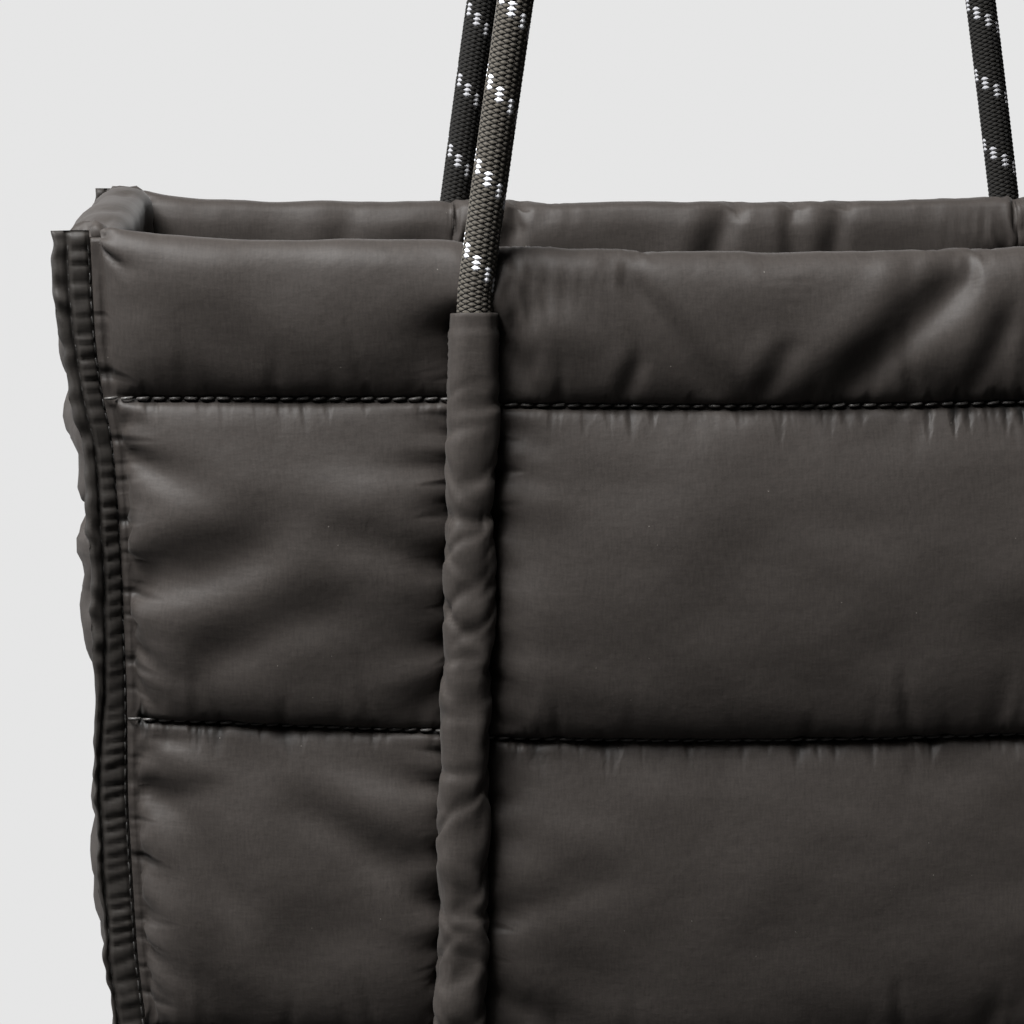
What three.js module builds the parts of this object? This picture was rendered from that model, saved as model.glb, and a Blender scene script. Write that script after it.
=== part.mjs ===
// A quilted tote bag with rope handles, standing open on its base.
// Millimetres. +X is to the right, +Y to the back and +Z up, and the origin is the middle of the underside.
import * as THREE from "three";

// Driving dimensions of the bag
const rimHeight = 328; // standing surface to the rim, at the corners
const cornerHalfWidth = 199.5; // middle plane to a corner seam, at the rim
const wallHalfDepth = 80; // middle plane to the middle of the front or back wall, at a corner seam
const wallBow = 5; // how far the front and back walls curve out between their corners
const wallBelly = 5; // what the curve gains halfway up
const gussetBulge = 9; // how far the gussets curve out between their corners
const rimSag = 3.5; // how far the rim and stitch lines hang between the corners
const centreDrop = 2.5; // how much lower the centre fields were sewn than the side fields

// Driving dimensions of the quilting
const rimChannel = 45; // rim to the first stitch line
const channelCount = 3; // whole channels between the first stitch line and the base
const puffHalf = 6.8; // half the thickness of a channel where it is fullest
const seamHalf = 1.3; // half the thickness at a stitch line
const sidePinch = 16; // how far from a side seam the quilting reaches its fullness
const rimDip = 1.5; // how far the rim dips at a side seam

// Driving dimensions of the base
const baseHalfSeam = 1.3; // half the thickness of the base at its edge
const baseSeamHeight = 6.5; // standing surface to the middle of that edge
const baseThickness = 13; // the padded middle of the base
const basePinch = 18; // how far from the edge the base reaches its thickness

// Driving dimensions of the handles, their sleeves and the seam edges
const ropeDiameter = 10;
const ropeClearance = 0.55; // rope to the sleeve's bore, at its corners
const ropeFoot = 10; // standing surface to the rope's lower ends
const handleRise = 255; // rim to the top of a handle's middle line
const handleLean = 4; // how far a handle leans out above its sleeves
const archDraw = 0.095; // how much a handle draws in as it rises, beside its rise
const archShoulder = 0.7; // where the handle turns in, as a share of its rise
const archCrown = 0.6; // half the crown's width, as a share of the handle's half width
const sleeveAtRim = 93; // middle plane to the line of a sleeve, at rim height
const sleeveAtFoot = 100.5; // middle plane to the line of a sleeve, at the foot of the wall
const sleeveBelowRim = 20; // rim to the top of a sleeve
const sleeveFoot = 5; // standing surface to the lower end of a sleeve
const sleeveWall = 1.1; // cloth of a sleeve, in front of the rope
const sleeveFlare = 0.5; // how much wider than deep a sleeve lies, each side
const sleeveSeat = 0.6; // sleeve to the seam that it lies on, between the two swelling fields
const edgeWidth = 9.8; // a seam edge, from its seam to its free edge
const edgeHalfThickness = 1.5;
const bottomEdgeWidth = 8;
const gap = 0.3; // between pieces that touch

const wallFoot = baseSeamHeight + baseHalfSeam + gap;
const firstLine = rimHeight - rimChannel;

// Where the corner seams run: rise is a share of the rim's height, out a share of the half width there
const cornerLine = [
  { rise: 0.0, out: 0.925 },
  { rise: 0.3, out: 0.938 },
  { rise: 0.37, out: 0.95 },
  { rise: 0.51, out: 0.959 },
  { rise: 0.6, out: 0.957 },
  { rise: 0.72, out: 0.961 },
  { rise: 0.825, out: 0.969 },
  { rise: 0.865, out: 0.986 },
  { rise: 0.91, out: 0.996 },
  { rise: 1.0, out: 1.0 },
];

// How the gussets curve out: bulge is a share of the full bulge
const gussetLine = [
  { rise: 0.0, bulge: 0.35 },
  { rise: 0.2, bulge: 1.0 },
  { rise: 0.86, bulge: 1.0 },
  { rise: 1.0, bulge: 0.0 },
];

// How the standing seam edges turn: turn is in degrees, from straight out sideways towards the front or back
const edgeTurn = [
  { rise: 0.0, turn: 5 },
  { rise: 0.5, turn: 10 },
  { rise: 0.58, turn: 25 },
  { rise: 0.73, turn: 48 },
  { rise: 0.86, turn: 30 },
  { rise: 1.0, turn: 5 },
];

// How full the quilting is: down is a share of the channel's height from its upper end
const rimRows = [
  { down: 0.0, full: 0.2 },
  { down: 0.03, full: 0.62 },
  { down: 0.13, full: 1.0 },
  { down: 0.6, full: 1.0 },
  { down: 0.9, full: 0.62 },
  { down: 1.0, full: 0.0 },
];
const channelRows = [
  { down: 0.1, full: 0.52 },
  { down: 0.35, full: 0.9 },
  { down: 0.7, full: 1.0 },
  { down: 0.92, full: 0.58 },
  { down: 1.0, full: 0.0 },
];

// The folds in the rim of the front centre field: x is a share of the half width and down of the rim channel.
// Depth is a share of the padding's half thickness there, and width of the padding's full thickness
const frontFolds = [
  { fromX: -0.32, fromDown: 0.32, toX: -0.21, toDown: 0.98, depth: 0.35, width: 1.2 },
  { fromX: 0.2, fromDown: 0.1, toX: 0.0, toDown: 0.98, depth: 0.5, width: 1.6 },
];

// Where a panel's columns stand: next to a seam as shares of the side pinch, and between them in even spans
const seamColumns = [0, 0.24, 0.6, 1];
const sideSpans = 1;
const centreSpans = 7;
const gussetSpans = 2;

const cloth = new THREE.MeshStandardMaterial({ color: 0x45413c, roughness: 0.62, metalness: 0 });
const edgeCloth = new THREE.MeshStandardMaterial({ color: 0x3a3733, roughness: 0.66, metalness: 0 });
const braid = new THREE.MeshStandardMaterial({ color: 0x4f4a40, roughness: 0.8, metalness: 0 });

const bag = new THREE.Group();

// A piece of the bag from its closed geometry
function addPiece(name, geometry, material) {
  const mesh = new THREE.Mesh(geometry, material);
  mesh.name = name;
  bag.add(mesh);
}

// Reads a column of a table at a rise between its rows
function readTable(table, rise, column) {
  const next = Math.max(1, table.findIndex((row) => row.rise >= rise));
  const low = table[next - 1];
  const high = table[next];
  const share = THREE.MathUtils.clamp((rise - low.rise) / (high.rise - low.rise), 0, 1);
  return THREE.MathUtils.lerp(low[column], high[column], share);
}

// Middle plane to a corner seam, at a height
function cornerOut(z) {
  return cornerHalfWidth * readTable(cornerLine, Math.min(1, z / rimHeight), "out");
}

// Middle plane to the middle of the front or back wall, at a place across and a height
function wallOut(x, z) {
  const bow = wallBow + wallBelly * Math.sin((Math.PI * Math.min(z, rimHeight)) / rimHeight);
  return wallHalfDepth + bow * (1 - (x / cornerOut(z)) ** 2);
}

// How far the quilting of a wall hangs below its corners; it tapers off to none at the foot
function sagAt(x, z) {
  const share = THREE.MathUtils.clamp((z - wallFoot) / rimChannel, 0, 1);
  return rimSag * share * (1 - (x / cornerOut(z)) ** 2);
}

// Middle plane to the middle of a gusset, at a depth and a height
function gussetOut(y, z) {
  const bulge = gussetBulge * readTable(gussetLine, Math.min(1, z / rimHeight), "bulge");
  return cornerOut(z) + bulge * (1 - (y / wallHalfDepth) ** 2);
}

// Middle plane to the line of a sleeve, at a height
function sleeveLine(z) {
  const share = (rimHeight - z) / (rimHeight - wallFoot);
  return THREE.MathUtils.lerp(sleeveAtRim, sleeveAtFoot, THREE.MathUtils.clamp(share, 0, 1));
}

// A closed mesh from shared vertices, with its faces turned outwards
function closedMesh(vertices, triangles) {
  const volume = triangles.reduce((sum, [a, b, c]) => {
    const across = new THREE.Vector3().crossVectors(vertices[b], vertices[c]);
    return sum + vertices[a].dot(across);
  }, 0);
  const faces = volume < 0 ? triangles.map(([a, b, c]) => [a, c, b]) : triangles;
  const geometry = new THREE.BufferGeometry().setFromPoints(vertices);
  geometry.setIndex(faces.flat());
  geometry.computeVertexNormals();
  return geometry;
}

// A padded sheet from two grids of points, its two skins, joined round their edges
function slab(outer, inner) {
  const rows = outer.length;
  const columns = outer[0].length;
  const skin = rows * columns;
  const at = (row, column) => row * columns + column;
  const vertices = [...outer.flat(), ...inner.flat()];
  const triangles = [];
  const quad = (a, b, c, d) => triangles.push([a, b, c], [a, c, d]);
  for (let row = 0; row < rows - 1; row++) {
    for (let column = 0; column < columns - 1; column++) {
      const [a, b] = [at(row, column), at(row, column + 1)];
      const [d, c] = [at(row + 1, column), at(row + 1, column + 1)];
      quad(a, b, c, d);
      quad(skin + a, skin + d, skin + c, skin + b);
    }
    const left = [at(row, 0), at(row + 1, 0)];
    const right = [at(row, columns - 1), at(row + 1, columns - 1)];
    quad(left[0], left[1], skin + left[1], skin + left[0]);
    quad(right[1], right[0], skin + right[0], skin + right[1]);
  }
  for (let column = 0; column < columns - 1; column++) {
    const top = [at(0, column), at(0, column + 1)];
    const foot = [at(rows - 1, column), at(rows - 1, column + 1)];
    quad(top[1], top[0], skin + top[0], skin + top[1]);
    quad(foot[0], foot[1], skin + foot[1], skin + foot[0]);
  }
  return closedMesh(vertices, triangles);
}

// A solid through rings of points that each have the same number of points, closed at both ends
function loft(rings) {
  const sides = rings[0].length;
  const vertices = rings.flat();
  const triangles = [];
  for (let ring = 0; ring < rings.length - 1; ring++) {
    for (let side = 0; side < sides; side++) {
      const a = ring * sides + side;
      const b = ring * sides + ((side + 1) % sides);
      triangles.push([a, b, b + sides], [a, b + sides, a + sides]);
    }
  }
  const last = (rings.length - 1) * sides;
  for (let side = 1; side < sides - 1; side++) {
    triangles.push([0, side + 1, side], [last, last + side, last + side + 1]);
  }
  return closedMesh(vertices, triangles);
}

// A tube with an open bore, from rings of points of its outside and its bore
function tube(outerRings, boreRings) {
  const sides = outerRings[0].length;
  const rings = outerRings.length;
  const bore = rings * sides;
  const vertices = [...outerRings.flat(), ...boreRings.flat()];
  const triangles = [];
  const quad = (a, b, c, d) => triangles.push([a, b, c], [a, c, d]);
  for (let side = 0; side < sides; side++) {
    const next = (side + 1) % sides;
    for (let ring = 0; ring < rings - 1; ring++) {
      const low = ring * sides;
      const high = low + sides;
      quad(low + side, low + next, high + next, high + side);
      quad(bore + low + side, bore + high + side, bore + high + next, bore + low + next);
    }
    const top = (rings - 1) * sides;
    quad(side, bore + side, bore + next, next);
    quad(top + side, top + next, bore + top + next, bore + top + side);
  }
  return closedMesh(vertices, triangles);
}

// How full the quilting is at a distance from the nearest side seam
function sideFullness(distance) {
  return THREE.MathUtils.smoothstep(distance, 0, sidePinch);
}

// How far the rim dips where the quilting is less than full; the dip ends at the first stitch line
function dipAt(sideShare, down) {
  return rimDip * (1 - sideShare) * Math.max(0, 1 - down);
}

// Half the thickness of the quilting
function halfThickness(full, sideShare) {
  return THREE.MathUtils.lerp(seamHalf, puffHalf, full * sideShare);
}

// The rows of a panel, from its rim to its foot, whose stitch lines lie lower by drop.
// down counts rim channels from the rim
function quiltRows(drop) {
  const line = firstLine - drop;
  const pitch = (line - wallFoot) / channelCount;
  const rows = rimRows.map(({ down, full }) => ({ z: line + rimChannel * (1 - down), full, down }));
  for (let channel = 0; channel < channelCount; channel++) {
    channelRows.forEach(({ down, full }) => {
      const fall = pitch * (channel + down);
      rows.push({ z: line - fall, full, down: 1 + fall / rimChannel });
    });
  }
  return rows;
}

// Where a panel's columns stand between its two seams: close together by the seams and even between
function columnPlaces(left, right, spans) {
  const near = seamColumns.map((share) => share * sidePinch);
  const between = Array.from({ length: spans - 1 }, (_, index) =>
    THREE.MathUtils.lerp(left + sidePinch, right - sidePinch, (index + 1) / spans),
  );
  const fromLeft = near.map((distance) => left + distance);
  const fromRight = near.map((distance) => right - distance).reverse();
  return [...fromLeft, ...between, ...fromRight];
}

// How deep the folds of a field press in at a place, as a share of the padding's half thickness
function foldDepth(folds, x, down) {
  return folds.reduce((deepest, fold) => {
    const start = new THREE.Vector2(fold.fromX * cornerHalfWidth, fold.fromDown * rimChannel);
    const end = new THREE.Vector2(fold.toX * cornerHalfWidth, fold.toDown * rimChannel);
    const along = end.clone().sub(start);
    const offset = new THREE.Vector2(x, down * rimChannel).sub(start);
    const share = THREE.MathUtils.clamp(offset.dot(along) / along.lengthSq(), 0, 1);
    const distance = offset.sub(along.multiplyScalar(share)).length();
    const near = 1 - THREE.MathUtils.smoothstep(distance, 0, fold.width * 2 * puffHalf);
    return Math.max(deepest, fold.depth * near);
  }, 0);
}

// One field of the front (side -1) or back (side 1) wall. seams gives its two seams at a height
function wallField({ side, spans, drop, seams, folds }) {
  const outer = [];
  const inner = [];
  quiltRows(drop).forEach(({ z, full, down }) => {
    const levels = columnPlaces(...seams(z), spans).map((x) => z - sagAt(x, z));
    const outerRow = [];
    const innerRow = [];
    levels.forEach((level, column) => {
      const [left, right] = seams(level);
      const x = columnPlaces(left, right, spans)[column];
      const sideShare = sideFullness(Math.min(x - left, right - x));
      const half = halfThickness(full, sideShare);
      const height = level - dipAt(sideShare, down);
      const middle = wallOut(x, height);
      const pressed = half * foldDepth(folds, x, down);
      outerRow.push(new THREE.Vector3(x, side * (middle + half - pressed), height));
      innerRow.push(new THREE.Vector3(x, side * (middle - half), height));
    });
    outer.push(outerRow);
    inner.push(innerRow);
  });
  return slab(outer, inner);
}

// The gusset on the left (side -1) or right (side 1)
function gusset(side) {
  const outer = [];
  const inner = [];
  const halfLength = wallHalfDepth - edgeHalfThickness - gap;
  quiltRows(0).forEach(({ z, full, down }) => {
    const outerRow = [];
    const innerRow = [];
    columnPlaces(-halfLength, halfLength, gussetSpans).forEach((y) => {
      const sideShare = sideFullness(halfLength - Math.abs(y));
      const half = halfThickness(full, sideShare);
      const height = z - dipAt(sideShare, down);
      const middle = gussetOut(y, height);
      outerRow.push(new THREE.Vector3(side * (middle + half), y, height));
      innerRow.push(new THREE.Vector3(side * (middle - half), y, height));
    });
    outer.push(outerRow);
    inner.push(innerRow);
  });
  return slab(outer, inner);
}

// The padded base, flat underneath
function base() {
  const halfWidth = cornerOut(wallFoot) + seamHalf;
  const halfDepth = wallHalfDepth + seamHalf;
  const sideBulge = gussetOut(0, wallFoot) - cornerOut(wallFoot);
  const wallBulge = wallOut(0, wallFoot) - wallHalfDepth;
  const ledge = 2 * seamHalf + 2 * gap;
  const steps = [0, ledge, (ledge + basePinch) / 2, basePinch];
  const knots = (half) => {
    const outwards = steps.map((step) => 1 - step / half);
    return [...outwards.map((knot) => -knot), ...outwards.reverse()];
  };
  const fullness = (share, half) => {
    const fromEdge = (1 - Math.abs(share)) * half;
    return THREE.MathUtils.smoothstep(fromEdge, ledge, basePinch);
  };
  const upper = [];
  const under = [];
  knots(halfDepth).forEach((t) => {
    const upperRow = [];
    const underRow = [];
    knots(halfWidth).forEach((s) => {
      const full = fullness(s, halfWidth) * fullness(t, halfDepth);
      const x = s * (halfWidth + sideBulge * (1 - t * t));
      const y = t * (halfDepth + wallBulge * (1 - s * s));
      const top = THREE.MathUtils.lerp(baseSeamHeight + baseHalfSeam, baseThickness, full);
      const bottom = THREE.MathUtils.lerp(baseSeamHeight - baseHalfSeam, 0, full);
      upperRow.push(new THREE.Vector3(x, y, top));
      underRow.push(new THREE.Vector3(x, y, bottom));
    });
    upper.push(upperRow);
    under.push(underRow);
  });
  return slab(upper, under);
}

const boreRadius = ropeDiameter / 2 + ropeClearance;
const sleeveHalfDepth = boreRadius + sleeveWall;
const sleeveHalfWidth = sleeveHalfDepth + sleeveFlare;
const sleeveTop = rimHeight - sleeveBelowRim;

// Middle plane to the axis of a sleeve and its rope, at a height.
// The sleeve lies on the seam between two fields
function sleeveOut(z) {
  return wallOut(sleeveLine(z), z) + seamHalf + sleeveSeat + sleeveHalfDepth;
}

// The sleeve of one rope: side is -1 at the front and 1 at the back, hand -1 at the left and 1 at the right
function ropeSleeve(side, hand) {
  const sides = 12;
  const steps = 8;
  const ring = (z, halfWidth, halfDepth) =>
    Array.from({ length: sides }, (_, index) => {
      const angle = ((index + 0.5) / sides) * 2 * Math.PI;
      const x = hand * sleeveLine(z) + halfWidth * Math.cos(angle);
      const y = side * sleeveOut(z) + halfDepth * Math.sin(angle);
      return new THREE.Vector3(x, y, z);
    });
  const heights = Array.from({ length: steps + 1 }, (_, step) =>
    THREE.MathUtils.lerp(sleeveFoot, sleeveTop, step / steps),
  );
  return tube(
    heights.map((z) => ring(z, sleeveHalfWidth, sleeveHalfDepth)),
    heights.map((z) => ring(z, boreRadius, boreRadius)),
  );
}

// Half of a handle's middle line: up inside one sleeve and over to the middle of the arch
function handleHalf(side) {
  const inSleeve = 6;
  const inArch = 9;
  const points = [];
  for (let step = 0; step <= inSleeve; step++) {
    const z = THREE.MathUtils.lerp(ropeFoot, sleeveTop, step / inSleeve);
    points.push(new THREE.Vector3(sleeveLine(z), side * sleeveOut(z), z));
  }
  const top = rimHeight + handleRise;
  const free = sleeveTop + ropeDiameter / 2;
  const start = new THREE.Vector2(sleeveLine(free), free);
  const rise = top - free;
  const arch = new THREE.CubicBezierCurve(
    start,
    new THREE.Vector2(start.x - archDraw * rise, start.y + archShoulder * rise),
    new THREE.Vector2(archCrown * start.x, top),
    new THREE.Vector2(0, top),
  );
  for (let step = 0; step <= inArch; step++) {
    const place = arch.getPoint(step / inArch);
    const lean = handleLean * THREE.MathUtils.smoothstep(place.y, free, free + rise / 2);
    points.push(new THREE.Vector3(place.x, side * (sleeveOut(free) + lean), place.y));
  }
  return points;
}

// One handle: a rope that stands as an arch between its two sleeves and runs down inside both
function handleRope(side) {
  const sides = 10;
  const steps = 54;
  const half = handleHalf(side);
  const mirrored = half.slice(0, -1).map((point) => new THREE.Vector3(-point.x, point.y, point.z));
  const path = new THREE.CatmullRomCurve3([...mirrored, ...half.reverse()]);
  const section = new THREE.Shape(
    Array.from({ length: sides }, (_, index) => {
      const angle = (index / sides) * 2 * Math.PI;
      return new THREE.Vector2(Math.cos(angle), Math.sin(angle)).multiplyScalar(ropeDiameter / 2);
    }),
  );
  return new THREE.ExtrudeGeometry(section, { steps, extrudePath: path, bevelEnabled: false });
}

// The standing seam edge at one corner: side is -1 at the front, hand -1 at the left
function cornerEdge(side, hand) {
  const heights = quiltRows(0).map(({ z }) => Math.max(z, wallFoot + gap));
  const rings = heights.map((z) => {
    const turn = THREE.MathUtils.degToRad(readTable(edgeTurn, z / rimHeight, "turn"));
    const root = cornerOut(z) + gap / 2;
    const along = new THREE.Vector2(Math.cos(turn), Math.sin(turn));
    const across = new THREE.Vector2(-along.y, along.x).multiplyScalar(edgeHalfThickness);
    const tip = along.clone().multiplyScalar(edgeWidth);
    const shoulder = along.clone().multiplyScalar(edgeWidth - edgeHalfThickness);
    const outline = [
      new THREE.Vector2(0, edgeHalfThickness),
      shoulder.clone().add(across),
      tip,
      shoulder.clone().sub(across),
      new THREE.Vector2(0, -edgeHalfThickness),
    ];
    return outline.map(({ x, y }) => new THREE.Vector3(hand * (root + x), side * (wallHalfDepth + y), z));
  });
  return loft(rings);
}

// The seam edge along the foot of one gusset
function footEdge(hand) {
  const steps = 6;
  const halfLength = wallHalfDepth;
  const rings = Array.from({ length: steps + 1 }, (_, step) => {
    const y = THREE.MathUtils.lerp(-halfLength, halfLength, step / steps);
    const root = gussetOut(y, wallFoot) + seamHalf + gap;
    const outline = [
      { out: 0, up: edgeHalfThickness },
      { out: bottomEdgeWidth - edgeHalfThickness, up: edgeHalfThickness },
      { out: bottomEdgeWidth, up: 0 },
      { out: bottomEdgeWidth - edgeHalfThickness, up: -edgeHalfThickness },
      { out: 0, up: -edgeHalfThickness },
    ];
    return outline.map(({ out, up }) => new THREE.Vector3(hand * (root + out), y, baseSeamHeight + up));
  });
  return loft(rings);
}

const sides = [
  { name: "front", side: -1, folds: frontFolds },
  { name: "back", side: 1, folds: [] },
];
const hands = [
  { name: "left", hand: -1 },
  { name: "right", hand: 1 },
];

sides.forEach(({ name, side, folds }) => {
  const corner = (z) => cornerOut(z) - gap / 2;
  const inside = (z) => sleeveLine(z) - gap / 2;
  const outside = (z) => sleeveLine(z) + gap / 2;
  const fields = [
    { place: "left", spans: sideSpans, drop: 0, seams: (z) => [-corner(z), -outside(z)] },
    { place: "centre", spans: centreSpans, drop: centreDrop, seams: (z) => [-inside(z), inside(z)] },
    { place: "right", spans: sideSpans, drop: 0, seams: (z) => [outside(z), corner(z)] },
  ];
  fields.forEach(({ place, spans, drop, seams }) => {
    const field = wallField({ side, spans, drop, seams, folds: place === "centre" ? folds : [] });
    addPiece(`${name}_${place}_field`, field, cloth);
  });
  addPiece(`${name}_handle_rope`, handleRope(side), braid);
  hands.forEach((at) => {
    addPiece(`${name}_${at.name}_rope_sleeve`, ropeSleeve(side, at.hand), cloth);
    addPiece(`${name}_${at.name}_seam_edge`, cornerEdge(side, at.hand), edgeCloth);
  });
});
hands.forEach((at) => {
  addPiece(`${at.name}_gusset`, gusset(at.hand), cloth);
  addPiece(`${at.name}_foot_seam_edge`, footEdge(at.hand), edgeCloth);
});
addPiece("base", base(), cloth);

export default bag;
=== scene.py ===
import bmesh
import bpy
import numpy as np
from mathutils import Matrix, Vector


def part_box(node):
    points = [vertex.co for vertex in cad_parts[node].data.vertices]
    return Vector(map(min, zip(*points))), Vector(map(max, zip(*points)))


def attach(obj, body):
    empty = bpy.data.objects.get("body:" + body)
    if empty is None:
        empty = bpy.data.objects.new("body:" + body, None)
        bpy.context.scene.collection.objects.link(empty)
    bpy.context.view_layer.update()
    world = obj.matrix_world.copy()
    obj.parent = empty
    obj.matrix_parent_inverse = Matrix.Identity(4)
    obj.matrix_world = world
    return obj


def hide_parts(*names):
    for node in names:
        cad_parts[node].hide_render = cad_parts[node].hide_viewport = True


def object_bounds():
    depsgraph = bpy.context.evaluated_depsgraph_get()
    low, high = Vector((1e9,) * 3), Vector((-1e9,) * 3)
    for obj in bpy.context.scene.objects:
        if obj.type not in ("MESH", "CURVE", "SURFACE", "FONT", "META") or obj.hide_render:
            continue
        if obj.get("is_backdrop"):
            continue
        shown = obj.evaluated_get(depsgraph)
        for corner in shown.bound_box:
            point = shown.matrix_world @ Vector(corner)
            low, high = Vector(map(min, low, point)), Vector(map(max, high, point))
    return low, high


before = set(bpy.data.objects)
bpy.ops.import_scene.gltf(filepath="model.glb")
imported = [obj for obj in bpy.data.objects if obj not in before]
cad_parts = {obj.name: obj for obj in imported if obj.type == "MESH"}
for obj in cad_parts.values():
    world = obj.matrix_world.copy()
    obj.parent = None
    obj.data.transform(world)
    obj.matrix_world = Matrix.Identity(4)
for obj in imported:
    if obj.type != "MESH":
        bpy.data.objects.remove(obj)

cad_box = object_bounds()
MM = 0.001

# Sizes of the bag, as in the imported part
rim_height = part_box("left_gusset")[1].z
corner_half_width = 199.5 * MM
wall_half_depth = 80 * MM
wall_bow = 5 * MM
wall_belly = 5 * MM
gusset_bulge = 9 * MM
centre_drop = 2.5 * MM
rim_channel = 45 * MM
channel_count = 3
wall_foot = 8.1 * MM
gusset_half_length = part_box("left_gusset")[1].y
rope_radius = 5 * MM
rope_foot = 10 * MM
handle_rise = 255 * MM
handle_lean = 4 * MM
arch_draw = 0.095
arch_shoulder = 0.7
arch_crown = 0.6
sleeve_at_rim = 93 * MM
sleeve_at_foot = 100.5 * MM
sleeve_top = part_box("front_left_rope_sleeve")[1].z
sleeve_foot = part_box("front_left_rope_sleeve")[0].z
sleeve_seat = 0.6 * MM
sleeve_half_depth = 6.65 * MM
sleeve_half_width = 6.8 * MM
sleeve_depth = 6.0 * MM
sleeve_girth = 22 * MM
sleeve_plain_top = 13 * MM
edge_width = 9.8 * MM
foot_edge_width = 8 * MM
edge_half_thickness = 1.5 * MM
groove_share = 0.58
base_seam_height = 6.5 * MM
base_thickness = 13 * MM
base_pinch = 18 * MM
seam_half = 1.3 * MM
piece_gap = 0.3 * MM

# How the padding swells: outside, inside and in the rim's roll
puff_outside = 8.2 * MM
channel_puffs = (1.0, 0.88, 0.86)
top_ease = (0.0, 0.3, 0.3)
puff_inside = 5.5 * MM
roll_radius = 7.2 * MM
rim_swell = 1.6 * MM
rim_dip = 0.4 * MM
side_pinch = 17 * MM
corner_pinch = 6 * MM
upper_sag = 1.0 * MM
line_drop = 1.6 * MM
edge_rise = 1.6 * MM
corner_strip = 3.0 * MM
join_swell = 1.3 * MM
upper_sag_reach = 77 * MM
lower_sag = 4.6 * MM
line_pitch = (rim_height - rim_channel - wall_foot) / channel_count
rim_sags = {
    "front": {"all": 0 * MM, "sides": 1.5 * MM, "middle": 1.5 * MM, "step": centre_drop},
    "back": {"all": 1.4 * MM, "sides": 2.0 * MM, "middle": 1.2 * MM, "step": 0 * MM},
}
sleeve_half_seam = 5.2 * MM

# The camera, in the bag's frame
camera_place = (-0.132, -0.985, 0.4065)
camera_line = (0.0548, 1.0, -0.1737)
camera_lens = 114.26

sides = (("front", -1), ("back", 1))
hands = (("left", -1), ("right", 1))


# Curves that the panels follow

def smooth_table(rows, spread=0.014):
    """A smooth curve through rows of (rise, value), with rises from 0 to 1."""
    rises, values = zip(*rows)
    fine = np.linspace(0, 1, 501)
    reach = int(round(3 * spread * 500))
    weights = np.exp(-0.5 * (np.arange(-reach, reach + 1) / (spread * 500)) ** 2)
    plain = np.pad(np.interp(fine, rises, values), reach, mode="reflect", reflect_type="odd")
    smooth = np.convolve(plain, weights / weights.sum(), mode="valid")
    return lambda rise: np.interp(rise, fine, smooth)


# Where the corner seams run: rise is a share of the rim's height, and the value a share of the half width
corner_line = smooth_table((
    (0.0, 0.93), (0.3, 0.943), (0.37, 0.955), (0.51, 0.964), (0.6, 0.962),
    (0.72, 0.966), (0.825, 0.974), (0.865, 0.988), (0.91, 0.996), (1.0, 1.0),
))

# How far the gussets curve out, as a share of their bulge
gusset_line = smooth_table(((0.0, 0.35), (0.2, 1.0), (0.86, 1.0), (1.0, 0.0)), 0.03)
gusset_slump = smooth_table((
    (0.0, 0.0), (0.3, -0.2), (0.36, -0.45), (0.43, -0.8), (0.5, -0.65), (0.56, -0.5), (0.61, -0.65),
    (0.655, -1.2), (0.69, -1.42), (0.775, -1.42), (0.795, -0.8), (0.812, 0.3), (0.845, 0.15),
    (0.875, -0.1), (0.9, 0.0), (1.0, 0.0),
), 0.006)

# How the standing seam edges turn from straight out sideways, in degrees
edge_turn = smooth_table(
    ((0.0, 5), (0.5, 6), (0.58, 16), (0.73, 34), (0.86, 24), (1.0, 5)), 0.03)


def ease(value):
    """Zero below 0, one above 1 and smooth between."""
    value = np.clip(value, 0, 1)
    return value * value * (3 - 2 * value)


def blend(low, high, share):
    """The value at a share of the way from low to high."""
    return low + (high - low) * share


def corner_out(z):
    """Middle plane to a corner seam, at a height."""
    return corner_half_width * corner_line(z / rim_height)


def wall_out(x, z):
    """Middle plane to the middle of the front or back wall."""
    bow = wall_bow + wall_belly * np.sin(np.pi * np.clip(z / rim_height, 0, 1))
    return wall_half_depth + bow * (1 - (x / corner_out(z)) ** 2)


def sag_at(wall, x, z):
    """How far the rims and stitch lines of a wall hang below its corners, more below than at the rim."""
    rim = rim_sags[wall]
    from_corner = corner_out(z) - np.abs(x)
    middle = np.exp(-(x / upper_sag_reach) ** 2)
    between_sleeves = ease((sleeve_line(z) - np.abs(x)) / (16 * MM) + 0.5)
    at_rim = rim["all"] + rim["sides"] * ease(from_corner / (55 * MM)) + rim["middle"] * middle
    at_rim = at_rim + rim["step"] * between_sleeves
    at_line = upper_sag * middle + line_drop * between_sleeves
    below = lower_sag * np.maximum(1 - (x / corner_out(z)) ** 2, 0) ** 1.3 + line_drop * between_sleeves
    first_line = rim_height - rim_channel
    hung = blend(at_line, at_rim, ease((z - first_line) / (0.6 * rim_channel)))
    hung = blend(hung, below, ease((first_line - z) / line_pitch))
    return hung * ease((z - wall_foot) / rim_channel)


def gusset_out(y, z):
    """Middle plane to the middle of a gusset."""
    bulge = gusset_bulge * gusset_line(z / rim_height)
    return corner_out(z) + bulge * (1 - (y / wall_half_depth) ** 2)


def sleeve_line(z):
    """Middle plane to the line of a sleeve, at a height."""
    share = np.clip((rim_height - z) / (rim_height - wall_foot), 0, 1)
    return blend(sleeve_at_rim, sleeve_at_foot, share)


def sleeve_out(z):
    """Middle plane to the axis of a sleeve and its rope, at a height."""
    return wall_out(sleeve_line(z), z) + seam_half + sleeve_seat + sleeve_half_depth


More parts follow.
